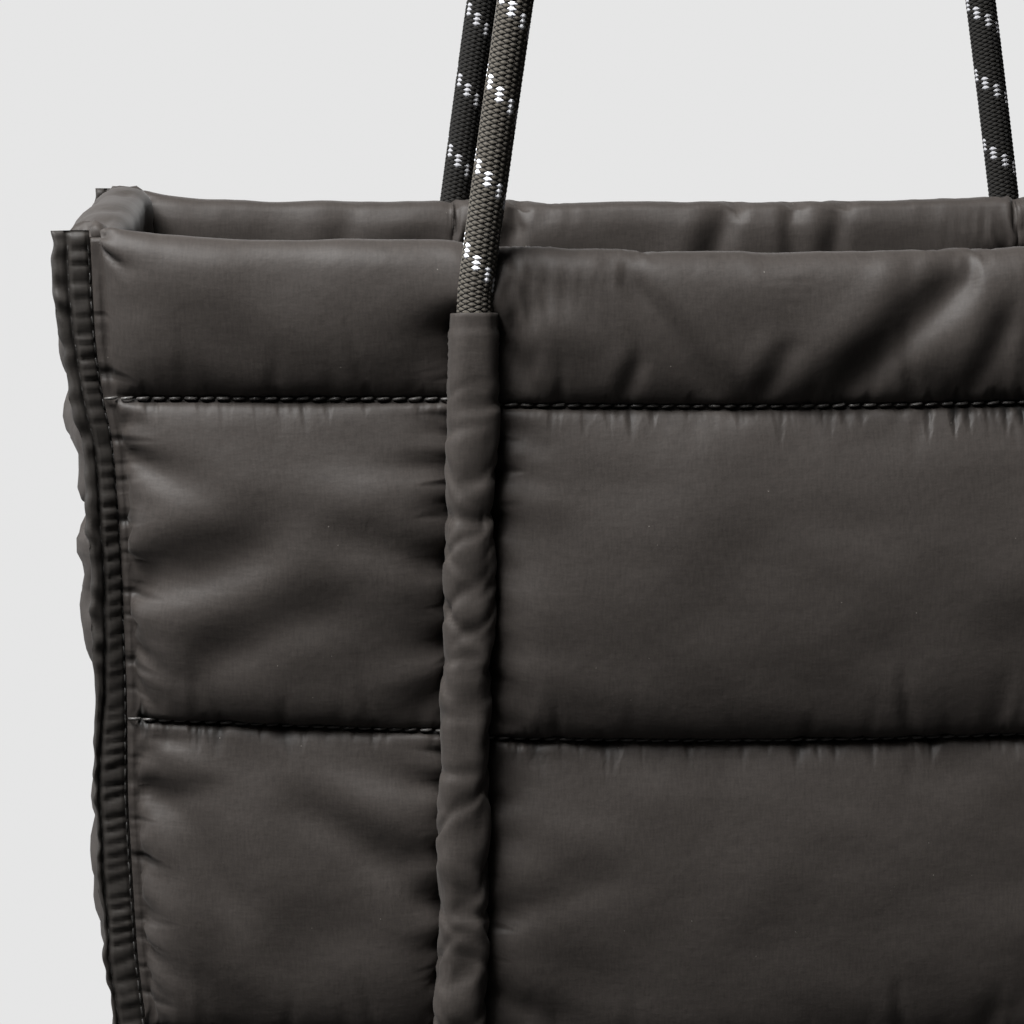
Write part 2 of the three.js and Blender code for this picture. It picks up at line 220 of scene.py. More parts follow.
def ripples(first, second, seed, wave, stretch=1.0, count=22):
    """Smooth seeded noise of about one wavelength, about -1 to 1. stretch lengthens it along second."""
    rng = np.random.default_rng(seed)
    total = np.zeros(np.broadcast(first, second).shape)
    for _ in range(count):
        angle, phase = rng.uniform(0, 2 * np.pi, 2)
        turns = 2 * np.pi / (wave * rng.uniform(0.7, 1.5))
        total += np.sin(turns * (np.cos(angle) * first + np.sin(angle) * second / stretch) + phase)
    return total / np.sqrt(count)


def wobble(along, seed, wave, count=22):
    """Ripples along one way only."""
    return ripples(along, 0 * along, seed, wave, count=count)


def unit(vectors):
    """Vectors at length one."""
    return vectors / np.linalg.norm(vectors, axis=1, keepdims=True)


def stacked(*parts):
    """Arrays that fit together, as the coordinates of one array of points."""
    return np.stack(np.broadcast_arrays(*parts), axis=-1)


def lengths_along(path):
    """The length of a path up to each of its points."""
    return np.concatenate(([0], np.cumsum(np.linalg.norm(np.diff(path, axis=0), axis=1))))


def path_at(path, length, places):
    """The points of a path, or values along it, at the lengths in places."""
    return np.stack([np.interp(places, length, path[:, axis]) for axis in range(3)], axis=-1)


# Meshes from grids of points

def make_object(name, points, faces, smooth=True):
    """A mesh object at the origin from points and a list of arrays of faces, each of triangles or quads."""
    mesh = bpy.data.meshes.new(name)
    loops = np.concatenate([part.ravel() for part in faces]).astype(np.int32)
    sizes = np.concatenate([np.full(len(part), part.shape[1]) for part in faces]).astype(np.int32)
    starts = np.concatenate(([0], np.cumsum(sizes)[:-1])).astype(np.int32)
    mesh.vertices.add(len(points))
    mesh.vertices.foreach_set("co", np.ascontiguousarray(points, np.float32).ravel())
    mesh.loops.add(len(loops))
    mesh.loops.foreach_set("vertex_index", loops)
    mesh.polygons.add(len(sizes))
    mesh.polygons.foreach_set("loop_start", starts)
    mesh.polygons.foreach_set("use_smooth", np.full(len(sizes), smooth))
    mesh.update(calc_edges=True)
    piece = bpy.data.objects.new(name, mesh)
    bpy.context.scene.collection.objects.link(piece)
    return piece


def face_outwards(piece):
    """Turns the faces of a closed mesh outwards."""
    work = bmesh.new()
    work.from_mesh(piece.data)
    bmesh.ops.recalc_face_normals(work, faces=work.faces[:])
    work.to_mesh(piece.data)
    work.free()


def paint_uv(piece, coordinates):
    """Gives each corner of the mesh the cloth coordinates of its vertex, in metres."""
    mesh = piece.data
    index = np.empty(len(mesh.loops), np.int32)
    mesh.loops.foreach_get("vertex_index", index)
    layer = mesh.uv_layers.new(name="cloth")
    layer.uv.foreach_set("vector", coordinates[index].astype(np.float32).ravel())


def paint(piece, name, values):
    """Gives a mesh one number for each vertex."""
    layer = piece.data.attributes.new(name, "FLOAT", "POINT")
    layer.data.foreach_set("value", np.asarray(values, np.float32).ravel())


def grid_faces(rows, columns, closed=False):
    """Quads of a grid of points; closed joins its last column to its first."""
    row = np.arange(rows - 1)[:, None]
    column = np.arange(columns if closed else columns - 1)[None, :]
    after = (column + 1) % columns
    corners = (
        row * columns + column, row * columns + after,
        (row + 1) * columns + after, (row + 1) * columns + column,
    )
    return np.stack(corners, axis=-1).reshape(-1, 4)


def fan_faces(first, count, centre):
    """Triangles from a ring of points to one centre point."""
    ring = first + np.arange(count)
    return np.stack((ring, first + (np.arange(count) + 1) % count, np.full(count, centre)), axis=-1)


def tube_object(name, rings, first_end, last_end):
    """A closed mesh from rings of points, with a point in the middle of each end."""
    rows, columns = rings.shape[:2]
    points = np.concatenate((rings.reshape(-1, 3), first_end, last_end))
    faces = [grid_faces(rows, columns, closed=True), fan_faces(0, columns, rows * columns),
             fan_faces((rows - 1) * columns, columns, rows * columns + 1)]
    return make_object(name, points, faces)


def ride_as(piece, slot, *nodes):
    """A finished piece rides on the bag and stands for nodes, whose imported parts it hides. slot is not
    used.
    """
    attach(piece, "root")
    if nodes:
        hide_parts(*nodes)


# The cloth simulation: a grid of points held apart by its threads, over padding that presses it out

def shifted(grid, rows, columns):
    """Two views of a grid, the second moved by rows and columns against the first."""
    height, width = grid.shape[:2]
    first = grid[: height - rows, max(0, -columns) : width - max(0, columns)]
    second = grid[rows:, max(0, columns) : width + min(0, columns)]
    return first, second


def refine(field):
    """A grid with a row and a column put between each two, at their middle."""
    tall = np.empty((2 * len(field) - 1,) + field.shape[1:])
    tall[::2] = field
    tall[1::2] = (field[1:] + field[:-1]) / 2
    wide = np.empty((tall.shape[0], 2 * tall.shape[1] - 1) + tall.shape[2:])
    wide[:, ::2] = tall
    wide[:, 1::2] = (tall[:, 1:] + tall[:, :-1]) / 2
    return wide


def normals_of(points):
    """Unit normals of a grid of points."""
    along, across = np.gradient(points, axis=(0, 1))
    normal = np.cross(across, along)
    return normal / np.maximum(np.linalg.norm(normal, axis=-1, keepdims=True), 1e-12)


def settle(home, outward, held, cloth, seed, rounds, swell, cling=(0.05, 0.015), bend=0.12,
           keep_out=None, gather=None, bend_reach=2):
    """Cloth laid over padding comes to rest. home is where the padding puts each point, cloth the
    length of the cloth along and across to each, held the points that are sewn down, and gather
    the share of spare cloth down the grid at each point."""
    offset = np.zeros_like(home[::4, ::4])
    noise = np.random.default_rng(seed).normal(scale=0.25 * MM, size=offset.shape[:2])
    offset += noise[..., None] * outward[::4, ::4]
    for step, passes in zip((4, 2, 1), rounds):
        rest = home[::step, ::step]
        normal = outward[::step, ::step]
        free = (~held[::step, ::step])[..., None].astype(float)
        sheet = cloth[::step, ::step]
        threads = []
        for rows, columns, stiff in ((0, 1, 0.36), (1, 0, 0.36), (1, 1, 0.1), (1, -1, 0.1),
                                     (0, bend_reach, bend), (bend_reach, 0, bend)):
            first, second = shifted(sheet, rows, columns)
            length = np.linalg.norm(second - first, axis=-1)
            if gather is not None and rows and not columns:
                spare, _ = shifted(gather[::step, ::step], rows, columns)
                length = length * (1 + spare)
            threads.append((rows, columns, stiff, length))
        place = rest + offset * free
        before = place.copy()
        for _ in range(passes):
            moved = place + 0.8 * (place - before) * free
            before = place
            place = moved
            deep = ((rest - place) * normal).sum(-1, keepdims=True)
            press = np.where(deep > 0, cling[0], cling[1]) * deep + swell
            place += normal * press * free
            for rows, columns, stiff, length in threads:
                first, second = shifted(place, rows, columns)
                free_first, free_second = shifted(free, rows, columns)
                span = second - first
                now = np.sqrt((span * span).sum(-1)) + 1e-9
                pull = span * (stiff * (1 - length / now))[..., None]
                first += pull * free_first
                second -= pull * free_second
            if keep_out is not None:
                keep_out(place, free)
        offset = place - rest
        if step > 1:
            offset = refine(offset)
    far = np.linalg.norm(offset, axis=-1, keepdims=True)
    return home + offset * np.minimum(1, 7 * MM / np.maximum(far, 1e-9))


# Quilted panels

def even_and_close(count, closeness):
    """Shares from 0 to 1 whose steps are shorter near both ends."""
    even = np.linspace(0, 1, count + 1)
    return blend(even, (1 - np.cos(np.pi * even)) / 2, closeness)


# How full a channel is, from 0 to 1, at a share of its height from its upper line
centre_swelling = smooth_table((
    (0.0, 0.0), (0.03, 0.14), (0.08, 0.34), (0.16, 0.6), (0.28, 0.83), (0.4, 0.95), (0.52, 1.0),
    (0.64, 0.995), (0.74, 0.96), (0.81, 0.89), (0.87, 0.78), (0.92, 0.62), (0.96, 0.42), (0.985, 0.2),
    (1.0, 0.0),
), 0.004)
side_swelling = smooth_table((
    (0.0, 0.0), (0.03, 0.14), (0.08, 0.36), (0.16, 0.62), (0.26, 0.84), (0.36, 0.95), (0.46, 1.0),
    (0.6, 1.0), (0.7, 0.96), (0.78, 0.87), (0.85, 0.71), (0.9, 0.54), (0.94, 0.36), (0.975, 0.16),
    (1.0, 0.0),
), 0.005)


def quilt_profile(swelling, droop_share):
    """The section of a panel from the foot of its outside over the rim to the foot of its inside.
    Full and flat are (out, height) at full swelling and at a side seam, sewn marks the stitch lines,
    and down is how far a row lies below its upper stitch line, as a share of the channel."""
    line = rim_height - rim_channel
    pitch = line_pitch
    steps = even_and_close(40, 0.6)[:-1]
    full, flat, sewn, down_share = [], [], [], []
    for channel in reversed(range(channel_count)):
        upper = line - pitch * channel
        puff = puff_outside * channel_puffs[channel]
        for step in steps:
            down = 1 - step
            out = swelling(down) * (1 - top_ease[channel] * (1 - down) ** 2)
            height = upper - pitch * down
            droop = droop_share * puff * out * down ** 3
            full.append((seam_half + puff * out, height - droop, seam_half + puff_inside * out))
            flat.append((seam_half, height, seam_half))
            sewn.append(step == 0)
            down_share.append(down)
    roll_start = rim_height - roll_radius
    flat_start = rim_height - rim_dip - seam_half
    for step in even_and_close(24, 0.5)[:-1]:
        out = np.sin(np.pi / 2 * step) ** 0.6
        out_inside = np.sin(np.pi / 2 * step) ** 0.25
        belly = rim_swell * np.sin(np.pi * step)
        droop = 0.65 * roll_radius * out * (1 - step) ** 3
        height = blend(line, roll_start, step) - droop
        full.append((seam_half + (roll_radius - seam_half) * out + belly, height,
                     seam_half + (roll_radius - seam_half) * out_inside))
        flat.append((seam_half, blend(line, flat_start, step), seam_half))
        sewn.append(step == 0)
        down_share.append(1 - step)
    rows_below = len(full)
    outside_full = [(out, height) for out, height, _ in full]
    inside_full = [(-into, height) for _, height, into in reversed(full)]
    outside_flat = [(out, height) for out, height, _ in flat]
    inside_flat = [(-into, height) for _, height, into in reversed(flat)]
    turns = np.linspace(0, np.pi, 13)
    outer_turns = turns[:7]
    inner_turns = turns[7:]
    roll_full = [(roll_radius * np.cos(turn), roll_start + roll_radius * np.sin(turn))
                 for turn in outer_turns]
    roll_full += [(-roll_radius * abs(np.cos(turn)) ** 0.7, roll_start + roll_radius * np.sin(turn) ** 0.6)
                  if turn < np.pi - 0.01 else (-roll_radius, roll_start)
                  for turn in inner_turns]
    roll_flat = [(seam_half * np.cos(turn), flat_start + seam_half * np.sin(turn)) for turn in turns]
    sewn = np.array(sewn + [False] * len(turns) + sewn[::-1])
    downs = np.array(down_share + [0.0] * len(turns) + down_share[::-1])
    levels = np.array([height for _, height in outside_flat + roll_flat + inside_flat])
    lines = line - pitch * np.arange(channel_count + 1)
    loose = ease(np.abs(levels[:, None] - lines[None, :]).min(axis=1) / (6 * MM))
    return {
        "full": np.array(outside_full + roll_full + inside_full),
        "flat": np.array(outside_flat + roll_flat + inside_flat),
        "sewn": sewn,
        "down": downs,
        "rows_below": rows_below,
        "loose": loose,
    }


def side_fullness(distance, reach):
    """How full the quilting is at a distance from a side seam."""
    near = np.clip(distance / reach, 0, 1)
    return (1 - (1 - near) ** 2) ** 0.8


def pulls(distance, z, seed, spacing=15 * MM, reach=19 * MM, steep=0.6, widths=(1.4 * MM, 2.6 * MM)):
    """Folds that run in from a gathered side seam, each at its own height, from 0 to about 1."""
    rng = np.random.default_rng(seed)
    total = np.zeros(np.broadcast(distance, z).shape)
    for height in np.arange(0.02, rim_height, spacing):
        middle = height + rng.uniform(-0.4, 0.4) * spacing
        slope = rng.uniform(-steep, steep)
        long = reach * rng.uniform(0.4, 1.7)
        deep = rng.uniform(0.35, 1.0)
        wide = rng.uniform(*widths)
        above = z - middle - slope * distance
        spread = wide * (1 + 0.8 * distance / long) * np.where(above > 0, 1.7, 0.8)
        fading = np.exp(-(np.maximum(distance, 0) / long) ** 1.5)
        total += deep * fading * np.exp(-0.5 * (above / spread) ** 2)
    return total


def fold_press(folds, x, z, wall):
    """How deep the folds press in at a place; each has a steep lower wall and a long lifted upper one."""
    total = np.zeros(x.shape)
    for fold in folds:
        if fold["on"] != wall:
            continue
        start = np.array((fold["from_x"], rim_height - fold["from_down"]))
        run = np.array((fold["to_x"], rim_height - fold["to_down"])) - start
        length = np.hypot(*run)
        away_x, away_z = x - start[0], z - start[1]
        share = (away_x * run[0] + away_z * run[1]) / length ** 2
        above = (away_z * run[0] - away_x * run[1]) / length * np.sign(run[0])
        bent = above - fold["bow"] * np.sin(np.pi * np.clip(share, 0, 1))
        ends = ease((share + 0.15) / 0.35) * ease((1.15 - share) / 0.4)
        valley = np.exp(-0.5 * (bent / (fold["width"] * np.where(bent > 0, 1.5, 0.75))) ** 2)
        ridge = np.exp(-0.5 * ((bent - 3.2 * fold["width"]) / (1.6 * fold["width"])) ** 2)
        total += fold["depth"] * ends * (valley - 0.4 * ridge)
    return total


def panel_home(profile, across, place, pinch, left_seam, right_seam):
    """Where the padding puts each point of a panel. place(across share, out, height) gives a point.
    Each seam has the width that lies flat beside it, and whether it ends at the top of a sleeve."""
    full = profile["full"][:, None, :]
    flat = profile["flat"][:, None, :]
    level = np.broadcast_to(profile["flat"][:, None, 1], (len(profile["full"]), len(across)))
    width = pinch(level)
    from_left = across[None, :] * width - left_seam["flat"]
    from_right = (1 - across[None, :]) * width - right_seam["flat"]
    above_sleeve = ease((level - sleeve_top + 2 * MM) / (13 * MM))
    sides_near, talls, joined = [], [], 0
    for distance, seam in ((from_left, left_seam), (from_right, right_seam)):
        opened = above_sleeve if seam["sleeve"] else 0 * level
        sides_near.append(blend(side_fullness(distance, side_pinch), 1, opened))
        talls.append(blend(side_fullness(distance, corner_pinch), 1, opened))
        joined = joined + opened * (distance + seam["flat"] < 0.01 * MM)
    near = np.minimum(*sides_near)
    tall = np.minimum(*talls)
    out = blend(flat[..., 0], full[..., 0], near)
    out = out + np.sign(flat[..., 0]) * join_swell * joined
    height = blend(flat[..., 1], full[..., 1], tall)
    calm = side_fullness(np.minimum(from_left, from_right), side_pinch)
    return place(across[None, :], out, height), near, calm, (from_left, from_right)


def cloth_lengths(home, down, spare, loose):
    """The lengths of cloth across, from the middle column, and along. loose is how far the rows
    that are drawn in by a seam still have the cloth of the fullest row, from 0 to 1."""
    fullest = int(np.argmin(np.abs(down[: len(down) // 3] - 0.6)))
    middle = home.shape[1] // 2
    gaps = np.linalg.norm(np.diff(home, axis=1), axis=-1)
    gaps = blend(gaps, gaps[fullest][None, :], loose)
    across = np.concatenate((np.zeros((len(home), 1)), np.cumsum(gaps, axis=1)), axis=1)
    across = across - across[:, middle : middle + 1] + across[fullest, middle]
    along = lengths_along(home[:, middle])
    return stacked(across * (1 + spare[0]), along[:, None] * (1 + spare[1]))


def small_puckers(points, outward, cloth, near, sewn_row, seed):
    """The short gathers that the needle leaves above and below the stitch lines."""
    across = cloth[..., 0]
    below = sewn_row["below"][:, None]
    above = sewn_row["above"][:, None]
    leaning = 0.35 * wobble(across, seed, 20 * MM, 8)
    teeth = wobble(across + leaning * below, seed + 1, 7 * MM, 14)
    reach = 8 * MM * np.clip(1 + 0.9 * wobble(across, seed + 2, 13 * MM, 10), 0.3, 2.2)
    under = (0.2 * teeth - 0.7 * np.maximum(teeth - 0.2, 0)) * np.exp(-(below / reach) ** 1.3)
    under = under * ease(below / MM)
    bites = wobble(across + leaning * above, seed + 3, 9 * MM, 14)
    height = 5 * MM * np.clip(1 + 0.7 * wobble(across, seed + 4, 24 * MM, 10), 0.4, 1.9)
    hump = (above / height) * np.exp(1 - above / height)
    over = (0.5 * bites - 0.7 * np.maximum(bites - 0.2, 0)) * hump ** 1.8 * (above < 26 * MM)
    lift = MM * (under + 1.1 * over)
    return points + outward * (lift * ease(near * 1.4))[..., None]


def line_distances(profile, along):
    """For each row, how far it lies below and above its nearest stitch lines, along the cloth."""
    sewn = np.flatnonzero(profile["sewn"])
    rows = np.arange(len(along))
    outside = rows < profile["rows_below"] + 6
    lines = along[sewn]
    gap_after = np.array([np.min([x - a for x in lines if x >= a] or [1.0]) for a in along])
    gap_before = np.array([np.min([a - x for x in lines if x <= a] or [1.0]) for a in along])
    return {
        "below": np.where(outside, gap_after, gap_before),
        "above": np.where(outside, gap_before, gap_after),
    }


def panel_object(name, points, cloth, gathered, drawn):
    """A closed padded panel from its grid, whose rows run over the rim from foot to foot."""
    rows, columns = points.shape[:2]
    at = np.arange(rows * columns).reshape(rows, columns)
    half = (rows - 1) // 2
    faces = [grid_faces(rows, columns)]
    for column in (0, columns - 1):
        down_one = at[:half, column]
        down_two = at[1 : half + 1, column]
        up_one = at[rows - 1 - np.arange(half), column]
        up_two = at[rows - 2 - np.arange(half), column]
        quads = np.stack((down_one, down_two, up_two, up_one), axis=-1)
        faces += [quads[:-1], quads[-1:, (0, 1, 3)]]
    faces.append(np.stack((at[0, :-1], at[0, 1:], at[-1, 1:], at[-1, :-1]), axis=-1))
    piece = make_object(name, points.reshape(-1, 3), faces)
    round_faces = np.zeros(len(piece.data.polygons), bool)
    round_faces[: len(faces[0])] = True
    piece.data.polygons.foreach_set("use_smooth", round_faces)
    paint_uv(piece, cloth.reshape(-1, 2))
    paint(piece, "gathered", np.repeat(gathered, columns))
    paint(piece, "drawn", drawn)
    face_outwards(piece)
    return piece


def quick_rounds():
    """How many passes the cloth makes at each fineness."""
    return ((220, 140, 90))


def make_panel(name, seed, profile, columns, closeness, place, width, seams, press):
    """One padded panel: laid out, simulated, puckered and meshed. Also gives its grid and outward lines."""
    across = even_and_close(columns, closeness)
    home, near, calm, sideways = panel_home(profile, across, place, width, *seams)
    outward = normals_of(home)
    if (outward[profile["rows_below"] // 2, columns // 2] * press["towards"]).sum() < 0:
        outward = -outward
    lift = press["lift"](home, calm, *sideways) * profile["loose"][:, None]
    home = home + outward * lift[..., None]
    cloth = cloth_lengths(home, profile["down"], press["spare"], press["loose"])
    held = np.zeros(near.shape, bool)
    held[profile["sewn"]] = True
    held[[0, -1]] = True
    held |= near <= 0
    held[:, [0, -1]] = True
    beside = np.maximum(np.minimum(*sideways), 0)
    gather = press["gather"] * np.exp(-beside / (14 * MM))
    rested = settle(home, outward, held, cloth, seed, quick_rounds(), press["swell"], gather=gather)
    distances = line_distances(profile, cloth[:, 0, 1])
    finished = small_puckers(rested, outward, cloth, near, distances, seed + 40)
    gathered = np.maximum(1 - distances["below"] / (15 * MM), 1 - distances["above"] / (9 * MM))
    below_sleeve = ease((sleeve_top + 4 * MM - profile["flat"][:, 1:]) / (8 * MM))
    drawn = np.maximum(1 - beside / (13 * MM), 0) * below_sleeve
    return panel_object(name, finished, cloth, np.maximum(gathered, 0), drawn), finished, outward


# The folds of the walls, in mm: x across the bag, down from the rim, bow how far a fold bends on its way
fold_lengths = ("from_x", "from_down", "to_x", "to_down", "depth", "width", "bow")
fold_rows = (
    ("front", -54, 10, -24, 47, 2.2, 2.2, 1),
    ("front", -46, 34, -52, 46, 1.4, 1.6, 0),
    ("front", -4, 30, -14, 46, 1.8, 2.0, 0),
    ("front", 46, 9, 6, 46, 4.2, 3.6, -1),
    ("front", 30, 4, 26, 16, 1.4, 2.0, 0),
    ("front", 56, 22, 44, 46, 1.7, 2.2, 0),
    ("front", -84, 30, -74, 46, 1.6, 1.8, 0),
    ("front", -194, 100, -146, 84, 3.6, 4.8, -3),
    ("front", -172, 122, -128, 104, 2.2, 4.0, 2),
    ("front", -136, 84, -104, 94, 2.0, 3.2, 1),
    ("front", -190, 152, -160, 196, 3.2, 4.0, 3),
    ("front", -146, 160, -108, 190, 2.8, 3.6, 2),
    ("back inside", -122, -6, -132, 34, 1.8, 3, 1),
    ("back inside", -66, -6, -76, 40, 2.6, 3, 2),
    ("back inside", 6, -5, -10, 42, 3.0, 3, 3),
    ("back inside", 19, -5, 22, 44, 2.4, 2.6, -2),
    ("back inside", 36, -4, 30, 36, 2.2, 3, 0),
)
wall_folds = [
    {"on": on, **{name: length * MM for name, length in zip(fold_lengths, lengths)}}
    for on, *lengths in fold_rows
]


def gathered_strip(distance, z, seed):
    """The narrow flat strip of small gathers beside a corner seam, and the groove behind it."""
    slanted = z + 0.5 * distance
    teeth = wobble(slanted, seed, 5 * MM, 12)
    strip = np.exp(-((distance - 1.5 * MM) / (1.0 * MM)) ** 2) * (0.6 + 0.26 * teeth)
    groove = np.exp(-((distance - 3.4 * MM) / (0.6 * MM)) ** 2) * (0.5 + 0.2 * teeth)
    return MM * (strip - groove) * ease(distance / MM) * ease((rim_height - 6 * MM - z) / (9 * MM))


def wall_lift(wall, side, name, seed):
    """How the padding of a wall field stands out or in from its plain shape."""
    rough = 0.9 if name == "centre" else 1.15

    def lift(home, calm, from_left, from_right):
        x, y, z = home[..., 0], home[..., 1], home[..., 2]
        outside = side * y > wall_out(x, z)
        broad = 0.55 * MM * ripples(x, z, seed, 62 * MM, 0.7)
        uneven = rough * (broad + 0.28 * MM * ripples(x + 0.4 * z, z, seed + 1, 28 * MM, 0.7))
        at_rim = ease((z - rim_height + 16 * MM) / (10 * MM))
        dents = ripples(x, 0.3 * z, seed + 2, 19 * MM)
        scallops = MM * at_rim * (0.5 * dents - 1.5 * np.maximum(dents - 0.4, 0))
        pressed = np.where(outside, fold_press(wall_folds, x, z, wall),
                           fold_press(wall_folds, x, z, wall + " inside"))
        at_left = 2.2 if name == "left" else 2.4
        at_right = 2.2 if name == "right" else 2.4
        drawn = MM * (at_left * pulls(from_left, z, seed + 3) + at_right * pulls(from_right, z, seed + 4))
        total = (uneven + scallops - drawn) * calm - pressed * calm ** 0.35
        if name == "left":
            total = total + gathered_strip(from_left + corner_strip, z, seed + 5) * outside
        if name == "right":
            total = total + gathered_strip(from_right + corner_strip, z, seed + 5) * outside
        return total
    return lift


def wall_field(wall, side, name, left, right, columns, closeness, seams, spare, seed):
    """One field of the front or back wall between two lines that run up it."""
    profile = quilt_profile(*((centre_swelling, 0.55) if name == "centre" else (side_swelling, 1.0)))

    def place(across, out, height):
        x = blend(left(height), right(height), across)
        z = height - sag_at(wall, x, height)
        y = side * (wall_out(x, z) + out)
        return stacked(x, y, z)

    press = {"towards": np.array((0, side, 0)), "swell": 0.025 * MM, "spare": spare, "loose": 0.2,
             "gather": 0.05, "lift": wall_lift(wall, side, name, seed)}
    width = lambda height: right(height) - left(height)
    piece, grid, outward = make_panel(
        f"{wall}_{name}_quilting", seed, profile, columns, closeness, place, width, seams, press)
    ride_as(piece, "quilted_nylon", f"{wall}_{name}_field")
    line_rows = np.flatnonzero(profile["sewn"])[1 : channel_count + 1]
    return piece, [(grid[row], outward[row]) for row in line_rows]


def wall_fields(wall, side, seed):
    """The three fields of a wall, and the stitch lines that run across them."""
    corner = lambda z: corner_out(z) - piece_gap / 2
    overlap = lambda z: 0.3 * MM * ease((z - sleeve_top + 4 * MM) / (4 * MM))
    outer = lambda z: sleeve_line(z) + piece_gap / 2 - overlap(z)
    inner = lambda z: sleeve_line(z) - piece_gap / 2 + overlap(z)
    plain = {"flat": corner_strip, "sleeve": False}
    sleeved = {"flat": sleeve_half_seam, "sleeve": True}
    spans = (
        ("left", lambda z: -corner(z), lambda z: -outer(z), 80, 0.5, (plain, sleeved), (0.004, 0.008)),
        ("centre", lambda z: -inner(z), inner, 136, 0.3, (sleeved, sleeved), (0.006, 0.006)),
        ("right", outer, corner, 80, 0.5, (sleeved, plain), (0.004, 0.008)),
    )
    pieces, lines = [], []
    for index, span in enumerate(spans):
        piece, sewn = wall_field(wall, side, *span, seed + 10 * index)
        pieces.append(piece)
        lines += sewn
    return pieces, lines


def gusset_lift(hand, seed):
    """How the padding of a gusset folds over itself as it sags."""
    creases = ((252, 3.0), (231, 1.8), (203, 1.6), (158, 1.8), (126, 1.6))

    def lift(home, calm, from_left, from_right):
        y, z = home[..., 1], home[..., 2]
        outside = hand * home[..., 0] > gusset_out(y, z)
        uneven = 0.8 * MM * ripples(y, z, seed, 55 * MM) + 0.5 * MM * ripples(y, z, seed + 1, 24 * MM, 0.6)
        wave = 4 * MM * wobble(y, seed + 2, 90 * MM)
        pressed = sum(depth * MM * np.exp(-0.5 * ((z - height * MM - wave) / (4.5 * MM)) ** 2)
                      for height, depth in creases)
        across_rim = 1.4 * MM * ripples(y, z, seed + 3, 26 * MM, 3.0) * ease((z - 0.29) / 0.02)
        drawn = 1.6 * MM * (pulls(from_left, z, seed + 4) + pulls(from_right, z, seed + 5))
        return (uneven - np.where(outside, pressed, 0.4 * pressed) + across_rim - drawn) * calm
    return lift


def gusset(name, hand, seed):
    """The gusset on the left or right."""
    profile = quilt_profile(side_swelling, 0.6)

    def place(across, out, height):
        y = blend(-gusset_half_length, gusset_half_length, across)
        middle = (1 - (y / gusset_half_length) ** 2) ** 2
        slump = gusset_bulge * gusset_slump(height / rim_height) * middle
        x = hand * (gusset_out(y, height) + out + slump)
        return stacked(x, y, height)

    press = {"towards": np.array((hand, 0, 0)), "swell": 0.03 * MM, "spare": (0.008, 0.03), "loose": 0.4,
             "gather": 0.05, "lift": gusset_lift(hand, seed)}
    width = lambda height: 2 * gusset_half_length + 0 * height
    plain = {"flat": 0, "sleeve": False}
    piece, _, _ = make_panel(
        f"{name}_gusset_quilting", seed, profile, 76, 0.35, place, width, (plain, plain), press)
    ride_as(piece, "quilted_nylon", f"{name}_gusset")
    return piece


def padded_base():
    """The padded base, flat underneath."""
    half_width = corner_out(wall_foot) + seam_half
    half_depth = wall_half_depth + seam_half
    side_bulge = gusset_out(0, wall_foot) - corner_out(wall_foot)
    wall_bulge = wall_out(0, wall_foot) - wall_half_depth
    ledge = 2 * seam_half + 2 * piece_gap
    s, t = np.meshgrid(2 * even_and_close(96, 0.7) - 1, 2 * even_and_close(48, 0.7) - 1)
    full = ease(((1 - np.abs(s)) * half_width - ledge) / (base_pinch - ledge))
    full = full * ease(((1 - np.abs(t)) * half_depth - ledge) / (base_pinch - ledge))
    x = s * (half_width + side_bulge * (1 - t * t))
    y = t * (half_depth + wall_bulge * (1 - s * s))
    soft = 0.5 * MM * ripples(x, y, 91, 45 * MM) * full
    top = blend(base_seam_height + seam_half, base_thickness - 0.6 * MM, full) + soft
    under = blend(base_seam_height - seam_half, 0.0, ease(full * 1.5))
    upper = np.stack((x, y, top), axis=-1)
    lower = np.stack((x, y, under), axis=-1)
    rows, columns = x.shape
    at = np.arange(rows * columns).reshape(rows, columns)
    far = rows * columns
    rim = np.concatenate((at[0, :], at[1:, -1], at[-1, -2::-1], at[-2:0:-1, 0]))
    after = np.roll(rim, -1)
    faces = [grid_faces(rows, columns), grid_faces(rows, columns) + far,
             np.stack((rim, after, after + far, rim + far), axis=-1)]
    piece = make_object("base_panel", np.concatenate((upper.reshape(-1, 3), lower.reshape(-1, 3))), faces)
    flat = np.stack((x, y), axis=-1).reshape(-1, 2)
    paint_uv(piece, np.concatenate((flat, flat)))
    face_outwards(piece)
    ride_as(piece, "quilted_nylon", "base")
    return piece


# Seam edges

def edge_section():
    """Shares of a seam edge's width from root to free edge, and the half thickness at each."""
    return smooth_table((
        (0.0, 0.5), (0.05, 0.3), (0.1, 1.0), (0.3, 1.15), (0.52, 1.0), (0.56, 0.15),
        (0.6, 0.15), (0.65, 0.9), (0.8, 1.0), (0.93, 0.9), (1.0, 0.25),
    ), 0.006)


